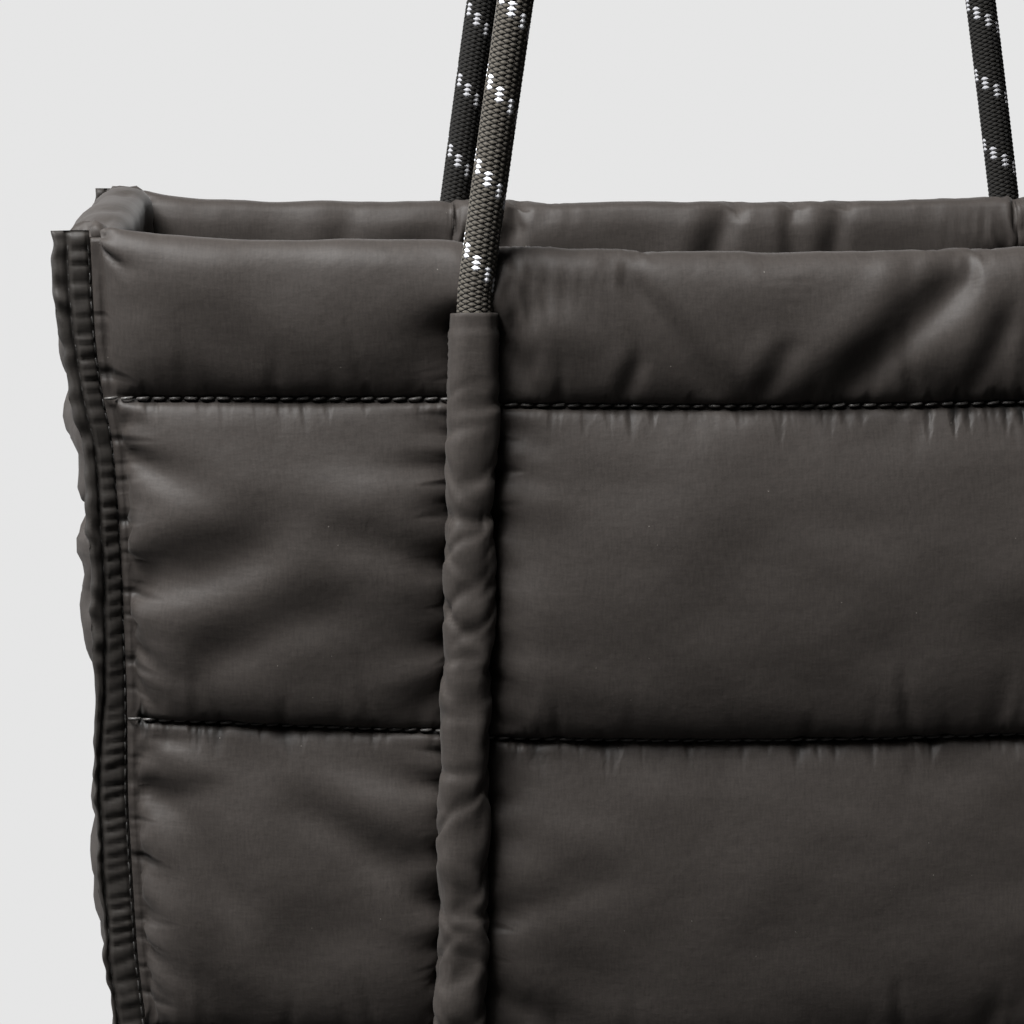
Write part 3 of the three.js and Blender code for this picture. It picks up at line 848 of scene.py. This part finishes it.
def seam_edge(name, slot, node, root, along, across, width, groove, seed):
    """A strip of layered cloth. At each point, root is its line, along the way out and across the way
    through it. groove is the share of its width at which its outer line of stitches sinks in."""
    steps = len(root)
    shares = even_and_close(18, 0.25)
    thick = edge_section()(shares)
    run = lengths_along(root)[:, None]
    out = shares[None, :]
    wander = 1.0 * MM * wobble(run, seed, 26 * MM) + 0.5 * MM * wobble(run, seed + 7, 9 * MM)
    slant = blend(2.6, 0.4, ease((root[:, 2:] - 0.23) / 0.02)) * MM
    phase = run + slant * out + wander
    strength = np.clip(0.95 + 0.3 * wobble(run, seed + 4, 34 * MM), 0.6, 1.4)
    band = ease((out - 0.02) / 0.08) * ease((0.57 - out) / 0.14)
    teeth = 1.7 * np.abs(np.sin(np.pi * phase / (4.1 * MM))) ** 0.6 - 1.1
    ridges = 0.55 * MM * strength * teeth + 0.2 * MM * ripples(run, out * width, seed + 1, 9 * MM)
    outer = ease((out - 0.6) / 0.06)
    rolls = 0.35 * MM * ripples(run - 2 * MM * out, out * width, seed + 5, 6 * MM, 1.6) * outer
    loose = 0.5 * MM * ripples(run, out * width, seed + 2, 30 * MM) * out
    frayed = wobble(run, seed + 3, 22 * MM) + 0.6 * wobble(run, seed + 8, 7 * MM)
    reach = width * (1 - 0.045 * (1 + frayed) * out)
    placed = np.where(out < groove_share, out * groove / groove_share,
                      groove + (out - groove_share) * (1 - groove) / (1 - groove_share))
    middle = root[:, None, :] + along[:, None, :] * (placed * reach)[..., None]
    sway = loose + 0.2 * MM * wobble(run, seed + 6, 8 * MM) * outer
    middle = middle + across[:, None, :] * sway[..., None]
    half = edge_half_thickness * thick[None, :] * np.ones((steps, 1))
    ends = np.minimum(1, np.sqrt(np.minimum(run, run[-1] - run) / (1.2 * MM)))
    half = half * blend(0.25, 1.0, ends)
    face = middle + across[:, None, :] * (half + band * ridges + rolls)[..., None]
    rear = middle - across[:, None, :] * (half + band * np.roll(ridges, 2, axis=0) + rolls)[..., None]
    ring = np.concatenate((face, rear[:, ::-1]), axis=1)
    piece = tube_object(name, ring, ring[:1].mean(1), ring[-1:].mean(1))
    cloth = stacked(np.concatenate((out, 2.2 - out[:, ::-1]), axis=1) * width, run).reshape(-1, 2)
    paint_uv(piece, np.concatenate((cloth, cloth[:2])))
    face_outwards(piece)
    ride_as(piece, slot, node)
    seams = [int(np.argmin(np.abs(shares - share))) for share in (0.05, groove_share)]
    return piece, [(face[:, column], rear[:, column]) for column in seams]


def corner_edge(wall, side, name, hand, seed):
    """The standing seam edge at one corner of the bag, and its lines of stitches."""
    z = np.linspace(wall_foot + piece_gap, rim_height + edge_rise, 380)
    turn = np.radians(edge_turn(np.minimum(z / rim_height, 1)))
    root = np.stack((hand * (corner_out(np.minimum(z, rim_height)) + piece_gap / 2),
                     np.full_like(z, side * wall_half_depth), z), axis=-1)
    wider = (1 + 0.1 * ease((z - rim_height + rim_channel) / (0.5 * rim_channel)))[:, None]
    along = wider * np.stack((hand * np.cos(turn), side * np.sin(turn), 0 * z), axis=-1)
    across = np.stack((-hand * np.sin(turn), side * np.cos(turn), 0 * z), axis=-1)
    groove = blend(0.84, 0.6, ease((z / rim_height - 0.52) / 0.16))[:, None]
    piece, seams = seam_edge(f"{wall}_{name}_edge_binding", "edge_nylon", f"{wall}_{name}_seam_edge",
                             root, along, across, edge_width, groove, seed)
    return piece, seams, across


def foot_edge(name, hand, seed):
    """The seam edge along the foot of one gusset."""
    y = np.linspace(-wall_half_depth, wall_half_depth, 140)
    x = gusset_out(y, wall_foot) + seam_half + piece_gap
    root = np.stack((hand * x, y, np.full_like(y, base_seam_height)), axis=-1)
    along = np.broadcast_to((float(hand), 0.0, 0.0), root.shape)
    across = np.broadcast_to((0.0, 0.0, 1.0), root.shape)
    piece, _ = seam_edge(f"{name}_foot_binding", "edge_nylon", f"{name}_foot_seam_edge",
                         root, along, across, foot_edge_width, 0.7, seed)
    return piece


# Rope sleeves

def sleeve(wall, side, name, hand, seed):
    """A cloth sleeve sewn over one leg of a rope, gathered along its length below its flat top."""
    steps = 280
    around = 24
    angle = np.linspace(0, np.pi, around + 1)
    level = np.linspace(sleeve_foot + 0.5 * MM, sleeve_top, steps + 1)[:, None]
    arch = np.sin(angle)[None, :] ** 0.5
    near_top = ease((level - sleeve_top + 16 * MM) / (16 * MM))
    z = level - 1.7 * MM * (1 - arch) * near_top
    flat_side = np.sign(np.cos(angle)) * np.abs(np.cos(angle)) ** 0.62
    slack = ease((sleeve_top - sleeve_plain_top - level) / (14 * MM))
    narrow = 1 - 0.07 * slack * np.maximum(wobble(level, seed + 5, 30 * MM), -0.6)
    sway = 0.55 * MM * slack * wobble(level, seed + 6, 42 * MM)
    x = hand * sleeve_line(level) + sway - sleeve_half_width * narrow * flat_side[None, :]
    seat = sleeve_half_depth + 0.2 * MM
    y = side * (sleeve_out(level) + blend(-seat, sleeve_depth, arch))
    home = stacked(x, y, z)
    heights = level[:, 0]
    centre = stacked(hand * sleeve_line(heights), side * sleeve_out(heights), 0.0)
    outward = normals_of(home)
    if outward[0, around // 2, 1] * side < 0:
        outward = -outward
    place = (angle / np.pi * sleeve_girth)[None, :]
    folded = place + 0.9 * np.abs(place - sleeve_girth / 2)
    bumps = 0.55 * MM * ripples(folded, level, seed, 19 * MM)
    bumps = bumps + 0.35 * MM * ripples(0 * place, level, seed + 2, 26 * MM)
    flat_fold = -0.3 * MM * np.exp(-((place - 16 * MM) / (1.2 * MM)) ** 2) * near_top
    home = home + outward * (bumps * slack * ease(arch * 1.2) + flat_fold)[..., None]
    across = lengths_along(home[-1])
    down = np.concatenate(([0], np.cumsum(np.diff(level[:, 0]) * (1 + 0.012 * slack[1:, 0]))))
    cloth = stacked(across[None, :] * 1.02, down[:, None])
    held = np.zeros(home.shape[:2], bool)
    held[:, [0, -1]] = True
    held[0] = True
    held[-5:] = True

    def keep_off_rope(points, free):
        stride = (len(home) - 1) // (len(points) - 1)
        from_axis = points - centre[::stride][:, None, :]
        from_axis[..., 2] = 0
        far = np.linalg.norm(from_axis, axis=-1, keepdims=True)
        front = (from_axis[..., 1:2] * side > 0)
        rope_size = rope_radius * (1 - hidden_draw * slack[::stride])[..., None]
        lack = np.maximum(0, rope_size + 0.35 * MM - far) * front
        points += from_axis / np.maximum(far, 1e-9) * lack * free

    rested = settle(home, outward, held, cloth, seed, quick_rounds(), 0.01 * MM,
                    cling=(0.05, 0.04), bend=0.2, keep_out=keep_off_rope, bend_reach=4)
    narrow_folds = (0.6 * MM, 1.1 * MM)
    from_left = pulls(place, level, seed + 3, 8 * MM, 10 * MM, 1.2, narrow_folds)
    from_right = pulls(sleeve_girth - place, level, seed + 4, 9 * MM, 11 * MM, 1.2, narrow_folds)
    creases = -1.6 * MM * (from_left + from_right)
    rested = rested + outward * ((creases + 0.45 * MM) * slack * ease(arch * 1.5))[..., None]
    keep_off_rope(rested, 1.0)
    return sleeve_mesh(wall, side, name, rested, outward, cloth)


def sleeve_mesh(wall, side, name, front, outward, cloth):
    """Closes a sleeve: its front, a lip turned in at its top, and a flat back against the wall."""
    lip_steps = np.array((0.1, 0.5, 0.6, 0.7)) * MM
    lip_rise = np.array((0.1, 0.05, -0.4, -6.0)) * MM
    lip = np.stack([front[-1] - outward[-1] * depth + np.array((0, 0, rise))
                    for depth, rise in zip(lip_steps, lip_rise)])
    grid = np.concatenate((front, lip))
    lip_cloth = cloth[-1:] + np.array((0, 1)) * np.linspace(1, 8, 4)[:, None, None] * MM
    flat = np.concatenate((cloth, lip_cloth))
    piece = tube_object(f"{wall}_{name}_sleeve_cloth", grid, grid[:1].mean(1), grid[-1:].mean(1))
    flat = flat.reshape(-1, 2)
    paint_uv(piece, np.concatenate((flat, flat[:2])))
    face_outwards(piece)
    ride_as(piece, "sleeve_nylon", f"{wall}_{name}_rope_sleeve")
    return piece


# Handles

def bezier(points, share):
    """Points of a smooth curve that starts and ends at the first and last of four points."""
    a, b, c, d = (np.array(point)[None, :] for point in points)
    t = share[:, None]
    return a * (1 - t) ** 3 + 3 * b * t * (1 - t) ** 2 + 3 * c * t * t * (1 - t) + d * t ** 3


def handle_path(side):
    """The middle line of a handle, from the foot of its left leg over the arch to the foot of its right."""
    top = rim_height + handle_rise
    free = sleeve_top + rope_radius
    start_x = sleeve_line(free)
    rise = top - free
    arch = bezier((
        (start_x, free), (start_x - arch_draw * rise, free + arch_shoulder * rise),
        (arch_crown * start_x, top), (0, top)), np.linspace(0, 1, 200))
    lean = handle_lean * ease((arch[:, 1] - free) / (rise / 2))
    arched = np.stack((arch[:, 0], side * (sleeve_out(free) + lean), arch[:, 1]), axis=-1)
    z = np.linspace(rope_foot, free, 60)[:-1]
    leg = np.stack((sleeve_line(z), side * sleeve_out(z), z), axis=-1)
    half = np.concatenate((leg, arched))
    mirrored = half * np.array((-1, 1, 1))
    return np.concatenate((mirrored, half[-2::-1]))


def resample(path, places):
    """Points of a path at lengths along it."""
    length = lengths_along(path)
    return path_at(path, length, places), length[-1]


braid_ribs = 16
rib_columns = 3
rib_shares = (0.0, 0.3, 0.7)
hidden_draw = 0.2
# The back rope's yarn and tracer are made darker: painted shade for the back handle, which gets less light.
yarns = {
    "front": {"shade": 1.0, "tracer_shade": 1.0, "tracer_start": 3},
    "back": {"shade": 0.12, "tracer_shade": 0.4, "tracer_start": 8},
}
pick_pitch = 1.45 * MM
rings_per_pick = 2
tracer_pitch = 16
tracer_picks = 3
tracer_step = 1
zigzag = 0.32


def braided_handle(wall, side, seed):
    """A round braid of upright ribs with small bulges where its yarns cross."""
    path = handle_path(side)
    _, total = resample(path, np.array([0.0]))
    hidden = sleeve_top - rope_foot - 12 * MM
    ring_pitch = pick_pitch / rings_per_pick
    first_ring = int(hidden / ring_pitch)
    rings = int(total / ring_pitch)
    numbers = np.arange(first_ring, rings - first_ring)
    coarse = np.arange(0, first_ring, 8)
    ring_number = np.concatenate((coarse, numbers, rings - coarse[::-1]))
    length = ring_number * ring_pitch
    columns = braid_ribs * rib_columns
    rib = np.repeat(np.arange(braid_ribs), rib_columns)
    within = np.tile(rib_shares, braid_ribs)
    angle_share = rib + within
    place, _ = resample(path, length)
    ahead, _ = resample(path, np.minimum(length + 1 * MM, total))
    behind, _ = resample(path, np.maximum(length - 1 * MM, 0))
    forward = unit(ahead - behind)
    sideways = np.broadcast_to((0.0, 1.0, 0.0), forward.shape)
    sideways = sideways - forward * (sideways * forward).sum(1, keepdims=True)
    sideways = unit(sideways)
    third = np.cross(forward, sideways)
    turn = 2 * np.pi * angle_share / braid_ribs
    rib_rise = np.where(within == 0, -0.6, 0.1)
    pick_rise = np.array((-0.25, 0.25))
    pick_part = (ring_number[:, None] + (rib % 2)[None, :]) % rings_per_pick
    rng = np.random.default_rng(seed)
    uneven = rng.normal(scale=0.06, size=(len(ring_number), columns))
    height = rib_rise[None, :] + pick_rise[pick_part] * (within != 0)[None, :] + uneven
    radius = rope_radius - 0.1 * MM + 0.42 * MM * np.minimum(height, 0.35)
    from_end = np.minimum(length, total - length)
    radius = radius * (1 - hidden_draw * ease((hidden - from_end) / (14 * MM)))[:, None]
    around = np.cos(turn)[None, :, None] * sideways[:, None, :]
    around = around + np.sin(turn)[None, :, None] * third[:, None, :]
    points = place[:, None, :] + around * radius[..., None]
    piece = tube_object(f"{wall}_braided_handle", points, place[:1], place[-1:])
    twist = stacked(angle_share[None, :], length[:, None] / pick_pitch)
    paint_uv(piece, np.concatenate((twist.reshape(-1, 2), np.zeros((2, 2)))))
    face_outwards(piece)
    ride_as(piece, "rope_braid", f"{wall}_handle_rope")
    return piece


# Stitches

def stitch_shape():
    """One stitch, a short thread that lies in its hole at both ends. Unit length along x, up along z."""
    sides = 5
    along = np.array((-0.5, -0.38, 0.0, 0.38, 0.5))
    rise = np.array((-1.1, 0.1, 0.62, 0.1, -1.1))
    thick = np.array((0.5, 0.95, 1.0, 0.95, 0.5))
    turn = 2 * np.pi * np.arange(sides) / sides
    thick = thick[:, None]
    rings = stacked(along[:, None], thick * np.cos(turn), rise[:, None] + thick * np.sin(turn))
    faces = grid_faces(len(along), sides, closed=True)
    return rings.reshape(-1, 3), faces


def stitch_row(path, up, pitch, length, radius, seed, tilt=0.0):
    """Points and faces of the stitches along a path; up is the way out of the cloth at its points."""
    rng = np.random.default_rng(seed)
    run = lengths_along(path)
    count = max(1, int(run[-1] / pitch))
    places = (np.arange(count) + 0.5) * run[-1] / count
    centre = path_at(path, run, places)
    forward = path_at(path, run, places + 0.6 * MM) - path_at(path, run, places - 0.6 * MM)
    forward = unit(forward)
    out = path_at(up, run, places)
    out = out - forward * (out * forward).sum(1, keepdims=True)
    out = unit(out)
    beside = np.cross(out, forward)
    slant = tilt + rng.normal(scale=0.05, size=(count, 1))
    ahead = forward * np.cos(slant) + beside * np.sin(slant)
    beside = beside * np.cos(slant) - forward * np.sin(slant)
    shape, faces = stitch_shape()
    size = length * rng.uniform(0.92, 1.05, size=(count, 1, 1))
    points = centre[:, None, :] + ahead[:, None, :] * shape[None, :, :1] * size
    points = points + beside[:, None, :] * shape[None, :, 1:2] * radius
    points = points + out[:, None, :] * shape[None, :, 2:] * radius
    steps = np.arange(count)[:, None, None] * len(shape)
    return points.reshape(-1, 3), (faces[None] + steps).reshape(-1, 4)


def stitches(name, rows):
    """One object of many rows of stitches."""
    points, faces, start = [], [], 0
    for part, quads in rows:
        points.append(part)
        faces.append(quads + start)
        start += len(part)
    piece = make_object(name, np.concatenate(points), faces)
    ride_as(piece, "edge_nylon")
    return piece


def quilt_stitches(name, lines, seed):
    """The stitches of the quilting on one side of the bag."""
    rows = []
    for index, (path, up) in enumerate(lines):
        level = np.stack((up[:, 0], up[:, 1], 0 * up[:, 2]), axis=-1)
        level = unit(level)
        raised = path + level * 1.2 * MM
        rows.append(stitch_row(raised, level, 4.35 * MM, 3.7 * MM, 0.47 * MM, seed + index, 0.1))
    return stitches(name, rows)


def edge_stitches(name, seams, across, seed):
    """The stitches along the root and the groove of a corner's seam edge, on both its faces."""
    rows = []
    for index, (face, rear) in enumerate(seams):
        lift, radius = ((0.35 * MM, 0.26 * MM), (0.0, 0.2 * MM))[index]
        for grid, up in ((face, across), (rear, -across)):
            path = grid[4:-4] + up[4:-4] * lift
            rows.append(stitch_row(path, up[4:-4], 3.9 * MM, 3.0 * MM, radius, seed + index, 0.05))
    return stitches(name, rows)


# Materials

backdrop_grey = (0.79, 0.79, 0.79, 1.0)
# Painted shade for the gaps between the rope's picks.
pick_gap_shade = (0.006, 0.006, 0.006, 1.0)
# Painted shade for the creases of the cloth's puckers.
pucker_shade = (0.006, 0.0052, 0.0046, 1.0)
fleck_colour = (0.3, 0.28, 0.25, 1.0)
dark_yarn = (0.024, 0.021, 0.017)
light_yarn = (0.175, 0.156, 0.13)
dull_yarn = (0.09, 0.082, 0.068)
white_yarn = (1.0, 1.0, 1.04)
dark_thread = (0.012, 0.0115, 0.011)
# Painted highlight: a light grey that paints glints on the stitches.
glint_thread = (0.2, 0.19, 0.18)


class Nodes:
    """The node tree of a material, with short ways to add to it."""

    def __init__(self, name):
        self.material = bpy.data.materials.new(name)
        self.material.use_nodes = True
        self.tree = self.material.node_tree
        self.surface = self.tree.nodes["Principled BSDF"]

    def add(self, kind, settings=None, **inputs):
        node = self.tree.nodes.new("ShaderNode" + kind)
        for key, value in (settings or {}).items():
            setattr(node, key, value)
        for key, value in inputs.items():
            self.feed(node.inputs[key.replace("_", " ")], value)
        return node

    def feed(self, socket, value):
        if isinstance(value, bpy.types.NodeSocket):
            self.tree.links.new(value, socket)
        else:
            socket.default_value = value

    def maths(self, operation, first, second=0.0, clamp=False):
        node = self.add("Math", {"operation": operation, "use_clamp": clamp})
        self.feed(node.inputs[0], first)
        self.feed(node.inputs[1], second)
        return node.outputs[0]

    def times(self, first, second, clamp=False):
        return self.maths("MULTIPLY", first, second, clamp)

    def plus(self, first, second):
        return self.maths("ADD", first, second)

    def minus(self, first, second):
        return self.maths("SUBTRACT", first, second)

    def mix(self, share, first, second):
        node = self.add("Mix", {"data_type": "RGBA"})
        self.feed(node.inputs[0], share)
        self.feed(node.inputs[6], first)
        self.feed(node.inputs[7], second)
        return node.outputs[2]

    def stretched(self, source, across, along):
        """Coordinates scaled apart along their first two ways."""
        return self.add("Mapping", None, Vector=source, Scale=(across, along, 1.0)).outputs[0]

    def noise(self, source, scale, detail=2.0, roughness=0.5):
        node = self.add("TexNoise", None, Vector=source, Scale=scale, Detail=detail, Roughness=roughness)
        return node.outputs[0]


def tinted(colour, shade):
    """A colour at a share of its brightness, with full cover."""
    return tuple(shade * channel for channel in colour) + (1.0,)


def nylon(name, colour, gloss):
    """Satin plain-weave nylon: fine threads, soft mottling, bright flecks, and gathers beside stitching,
    bumped and darkened with painted shade in their creases.
    """
    nodes = Nodes(name)
    cloth = nodes.add("UVMap", {"uv_map": "cloth"}).outputs[0]
    upright = nodes.noise(nodes.stretched(cloth, 1500, 260), 1.0, 1.0)
    level = nodes.noise(nodes.stretched(cloth, 240, 1500), 1.0, 1.0)
    grain = nodes.noise(cloth, 2200.0, 1.0)
    threads = nodes.plus(nodes.times(upright, 0.45), nodes.times(level, 0.25))
    threads = nodes.plus(threads, nodes.times(grain, 0.3))
    mottle = nodes.noise(nodes.stretched(cloth, 22, 30), 1.0, 3.0, 0.6)
    tone = nodes.plus(nodes.times(threads, 0.75), nodes.times(mottle, 0.25))
    dark = tinted(colour, 0.3)
    light = tinted(colour, 1.7)
    base = nodes.mix(tone, dark, light)
    notches = []
    for attribute, scales, reach in (("gathered", (210, 30), 0.44), ("drawn", (30, 170), 0.31)):
        closeness = nodes.add("Attribute", {"attribute_name": attribute}).outputs["Fac"]
        teeth = nodes.noise(nodes.stretched(cloth, *scales), 1.0, 1.0)
        limit = nodes.minus(0.74, nodes.times(closeness, reach))
        depth = nodes.maths("MAXIMUM", nodes.minus(teeth, limit), 0.0)
        depth = nodes.times(depth, depth)
        notches.append(nodes.times(depth, nodes.times(closeness, 3.0, clamp=True)))
    notch = nodes.plus(*notches)
    # Painted shade: the pucker notches beside stitch lines and sewn sides darken the cloth's colour.
    base = nodes.mix(nodes.times(notch, 9.0, clamp=True), base, pucker_shade)
    grid = nodes.add("TexVoronoi", {"feature": "F1"}, Vector=nodes.stretched(cloth, 130, 130), Scale=1.0)
    fleck = nodes.maths("LESS_THAN", grid.outputs["Distance"], 0.022)
    base = nodes.mix(nodes.times(fleck, 0.5), base, fleck_colour)
    nodes.feed(nodes.surface.inputs["Base Color"], base)
    rough = nodes.plus(nodes.times(mottle, 0.12), gloss - 0.06)
    nodes.feed(nodes.surface.inputs["Roughness"], rough)
    nodes.surface.inputs["Specular IOR Level"].default_value = 0.26
    nodes.surface.inputs["Sheen Weight"].default_value = 0.05
    nodes.surface.inputs["Sheen Roughness"].default_value = 0.45
    nodes.surface.inputs["Sheen Tint"].default_value = (0.9, 0.87, 0.84, 1.0)
    creases = nodes.noise(nodes.stretched(cloth, 150, 190), 1.0, 3.0, 0.55)
    puckers = nodes.add("Bump", {"invert": True}, Strength=1.0, Distance=0.011, Height=notch)
    weave = nodes.add("Bump", None, Strength=0.2, Distance=0.00005, Height=threads,
                      Normal=puckers.outputs[0])
    crinkle = nodes.add("Bump", None, Strength=0.25, Distance=0.0008, Height=creases,
                        Normal=weave.outputs[0])
    nodes.feed(nodes.surface.inputs["Normal"], crinkle.outputs[0])
    return nodes.material


def braid(name, shade, tracer_shade, tracer_start):
    """Matt braided yarn in interlocking picks, with painted shade in the gaps between them, and a white
    tracer around it.
    """
    nodes = Nodes(name)
    cloth = nodes.add("UVMap", {"uv_map": "cloth"}).outputs[0]
    parts = nodes.add("SeparateXYZ", None, Vector=cloth)
    across, along = parts.outputs[0], parts.outputs[1]
    tooth = nodes.maths("ABSOLUTE", nodes.minus(nodes.maths("FRACT", along), 0.5))
    swing = nodes.minus(zigzag, nodes.times(tooth, 4 * zigzag))
    turn = nodes.maths("COSINE", nodes.times(across, np.pi))
    column = nodes.plus(across, nodes.times(swing, turn))
    rib = nodes.maths("FLOOR", column)
    half = nodes.times(nodes.maths("FLOORED_MODULO", rib, 2.0), 0.5)
    phase = nodes.plus(along, half)
    turned = nodes.plus(nodes.maths("FLOOR", phase), nodes.times(rib, tracer_step))
    turned = nodes.plus(turned, tracer_start + 0.25)
    turned = nodes.maths("FLOORED_MODULO", turned, tracer_pitch)
    tracer = nodes.maths("LESS_THAN", turned, tracer_picks)
    tracer = nodes.times(tracer, nodes.maths("GREATER_THAN", half, 0.25))
    rounded = nodes.maths("SINE", nodes.times(nodes.maths("FRACT", phase), np.pi))
    limb = nodes.maths("SINE", nodes.times(nodes.maths("FRACT", column), np.pi))
    pick = nodes.maths("POWER", rounded, 0.6)
    pick = nodes.times(pick, nodes.maths("POWER", limb, 0.35))
    fibre = nodes.noise(nodes.stretched(cloth, 13, 1.9), 1.0, 2.0)
    fleece = nodes.noise(nodes.stretched(cloth, 1.3, 0.7), 1.0, 2.0)
    dark = tinted(dark_yarn, shade)
    light = tinted(light_yarn, shade)
    dull = tinted(dull_yarn, shade)
    yarn = nodes.mix(fibre, dark, light)
    yarn = nodes.mix(nodes.times(fleece, 0.4), yarn, dull)
    white = tinted(white_yarn, tracer_shade)
    colour = nodes.mix(tracer, yarn, white)
    gap = nodes.add("MapRange", None, Value=pick)
    gap.inputs["From Min"].default_value = 0.25
    gap.inputs["From Max"].default_value = 0.85
    open_share = nodes.maths("MAXIMUM", gap.outputs[0], nodes.times(tracer, 0.9))
    # Painted shade: the gaps between the picks are darkened to near black, except under the tracer.
    colour = nodes.mix(open_share, pick_gap_shade, colour)
    nodes.feed(nodes.surface.inputs["Base Color"], colour)
    nodes.surface.inputs["Roughness"].default_value = 0.8
    nodes.surface.inputs["Specular IOR Level"].default_value = 0.22
    nodes.surface.inputs["Sheen Weight"].default_value = 0.04
    swollen = nodes.add("Bump", None, Strength=1.0, Distance=0.00045, Height=pick)
    bump = nodes.add("Bump", None, Strength=0.5, Distance=0.0001, Height=fibre, Normal=swollen.outputs[0])
    nodes.feed(nodes.surface.inputs["Normal"], bump.outputs[0])
    return nodes.material


def thread(name, shade):
    """Dark glossy sewing thread with painted glints: a noise mixes a light grey into its colour."""
    nodes = Nodes(name)
    place = nodes.add("TexCoord").outputs["Object"]
    twist = nodes.noise(place, 1500.0, 1.0)
    dark = tinted(dark_thread, shade)
    light = tinted(glint_thread, shade)
    # Painted highlights: the noise paints light glints into the thread's colour.
    nodes.feed(nodes.surface.inputs["Base Color"], nodes.mix(twist, dark, light))
    nodes.surface.inputs["Roughness"].default_value = 0.34
    return nodes.material


def stage_paint():
    """An even pale grey to the camera, and a plain matt grey to everything else."""
    nodes = Nodes("stage_grey")
    shown = nodes.add("Emission", None, Color=backdrop_grey, Strength=1.0)
    matt = nodes.add("BsdfDiffuse", None, Color=(0.03, 0.03, 0.03, 1.0))
    seen = nodes.add("LightPath").outputs["Is Camera Ray"]
    mixed = nodes.add("MixShader")
    nodes.feed(mixed.inputs[0], seen)
    nodes.feed(mixed.inputs[1], matt.outputs[0])
    nodes.feed(mixed.inputs[2], shown.outputs[0])
    nodes.feed(nodes.tree.nodes["Material Output"].inputs["Surface"], mixed.outputs[0])
    return nodes.material


def make_world():
    """The same pale grey behind the bag, which lights it only a little."""
    world = bpy.data.worlds.new("studio")
    bpy.context.scene.world = world
    world.use_nodes = True
    tree = world.node_tree
    shown = tree.nodes["Background"]
    shown.inputs["Color"].default_value = backdrop_grey
    dim = tree.nodes.new("ShaderNodeBackground")
    dim.inputs["Color"].default_value = backdrop_grey
    dim.inputs["Strength"].default_value = 0.02
    seen = tree.nodes.new("ShaderNodeLightPath").outputs["Is Camera Ray"]
    mixed = tree.nodes.new("ShaderNodeMixShader")
    tree.links.new(seen, mixed.inputs[0])
    tree.links.new(dim.outputs[0], mixed.inputs[1])
    tree.links.new(shown.outputs[0], mixed.inputs[2])
    tree.links.new(mixed.outputs[0], tree.nodes["World Output"].inputs["Surface"])
    bpy.context.scene.view_settings.view_transform = "Standard"


def wear(piece, material):
    """Gives a piece its one material."""
    piece.data.materials.clear()
    piece.data.materials.append(material)


# The stage, the lights and the camera

stage_half_width = 6.0


def make_stage():
    """A wide floor just under the bag."""
    half = stage_half_width
    corners = np.array(((-half, -half, 0), (half, -half, 0), (half, half, 0), (-half, half, 0)), float)
    corners[:, 2] = -0.4 * MM
    floor = make_object("stage_floor", corners, [np.array(((0, 1, 2, 3),))], smooth=False)
    wear(floor, stage_paint())
    floor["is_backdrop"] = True


def area_light(name, place, aim, size, power, colour=(1.0, 1.0, 1.0)):
    """A lamp panel at a place, turned to a point."""
    lamp = bpy.data.lights.new(name, "AREA")
    lamp.shape = "RECTANGLE"
    lamp.size, lamp.size_y = size
    lamp.energy = power
    lamp.color = colour
    light = bpy.data.objects.new(name, lamp)
    light.location = place
    light.rotation_euler = (Vector(aim) - Vector(place)).to_track_quat("-Z", "Y").to_euler()
    bpy.context.scene.collection.objects.link(light)


def make_lights():
    """A soft key from high on the left, weak fills from in front and the left, and a faint glow behind."""
    area_light("key_softbox", (-0.82, -0.66, 1.78), (0, 0, 0.25), (1.0, 1.0), 82.0)
    area_light("front_fill", (-1.0, -1.9, 1.9), (0, 0, 0.25), (0.9, 0.9), 4.0)
    area_light("left_fill", (-2.2, 0.3, 0.9), (0, 0, 0.25), (1.0, 1.0), 25.0, (0.93, 0.96, 1.0))
    area_light("back_glow", (0.0, 2.6, 0.9), (0, 0, 0.3), (3.4, 1.4), 16.0)


def make_camera():
    """The camera at its place, turned along its line."""
    lens = bpy.data.cameras.new("camera")
    lens.lens = camera_lens
    lens.sensor_width = 36
    camera = bpy.data.objects.new("camera", lens)
    camera.location = camera_place
    camera.rotation_euler = Vector(camera_line).to_track_quat("-Z", "Y").to_euler()
    bpy.context.scene.collection.objects.link(camera)
    bpy.context.scene.camera = camera


def build_bag():
    """All pieces of the bag."""
    quilted = nylon("quilted_cloth", (0.045, 0.0385, 0.0345), 0.56)
    inside_sleeve = nylon("sleeve_cloth", (0.048, 0.041, 0.0365), 0.6)
    # The edge cloth and the edge thread are darker copies of the quilted cloth and the quilting thread:
    # painted shade for the seam edges, which get less light.
    edging = nylon("edge_cloth", (0.031, 0.0275, 0.0245), 0.54)
    ropes = {wall: braid(f"{wall}_rope_yarn", **yarn) for wall, yarn in yarns.items()}
    sewing = thread("quilting_thread", 0.8)
    edge_sewing = thread("edge_thread", 0.5)
    for index, (wall, side) in enumerate(sides):
        fields, lines = wall_fields(wall, side, 100 + 200 * index)
        for field in fields:
            wear(field, quilted)
        wear(quilt_stitches(f"{wall}_quilt_stitches", lines, 500 + index), sewing)
        wear(braided_handle(wall, side, 600 + index), ropes[wall])
        for step, (name, hand) in enumerate(hands):
            seed = 700 + 20 * index + 5 * step
            wear(sleeve(wall, side, name, hand, seed), inside_sleeve)
            strip, seams, across = corner_edge(wall, side, name, hand, seed + 100)
            wear(strip, edging)
            wear(edge_stitches(f"{wall}_{name}_edge_stitches", seams, across, seed + 200), edge_sewing)
    for index, (name, hand) in enumerate(hands):
        wear(gusset(name, hand, 900 + 50 * index), quilted)
        wear(foot_edge(name, hand, 990 + index), edging)
    wear(padded_base(), quilted)


make_camera()
make_world()
make_lights()
make_stage()
build_bag()

shown_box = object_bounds()
{"cad": [list(corner) for corner in cad_box], "shown": [list(corner) for corner in shown_box]}
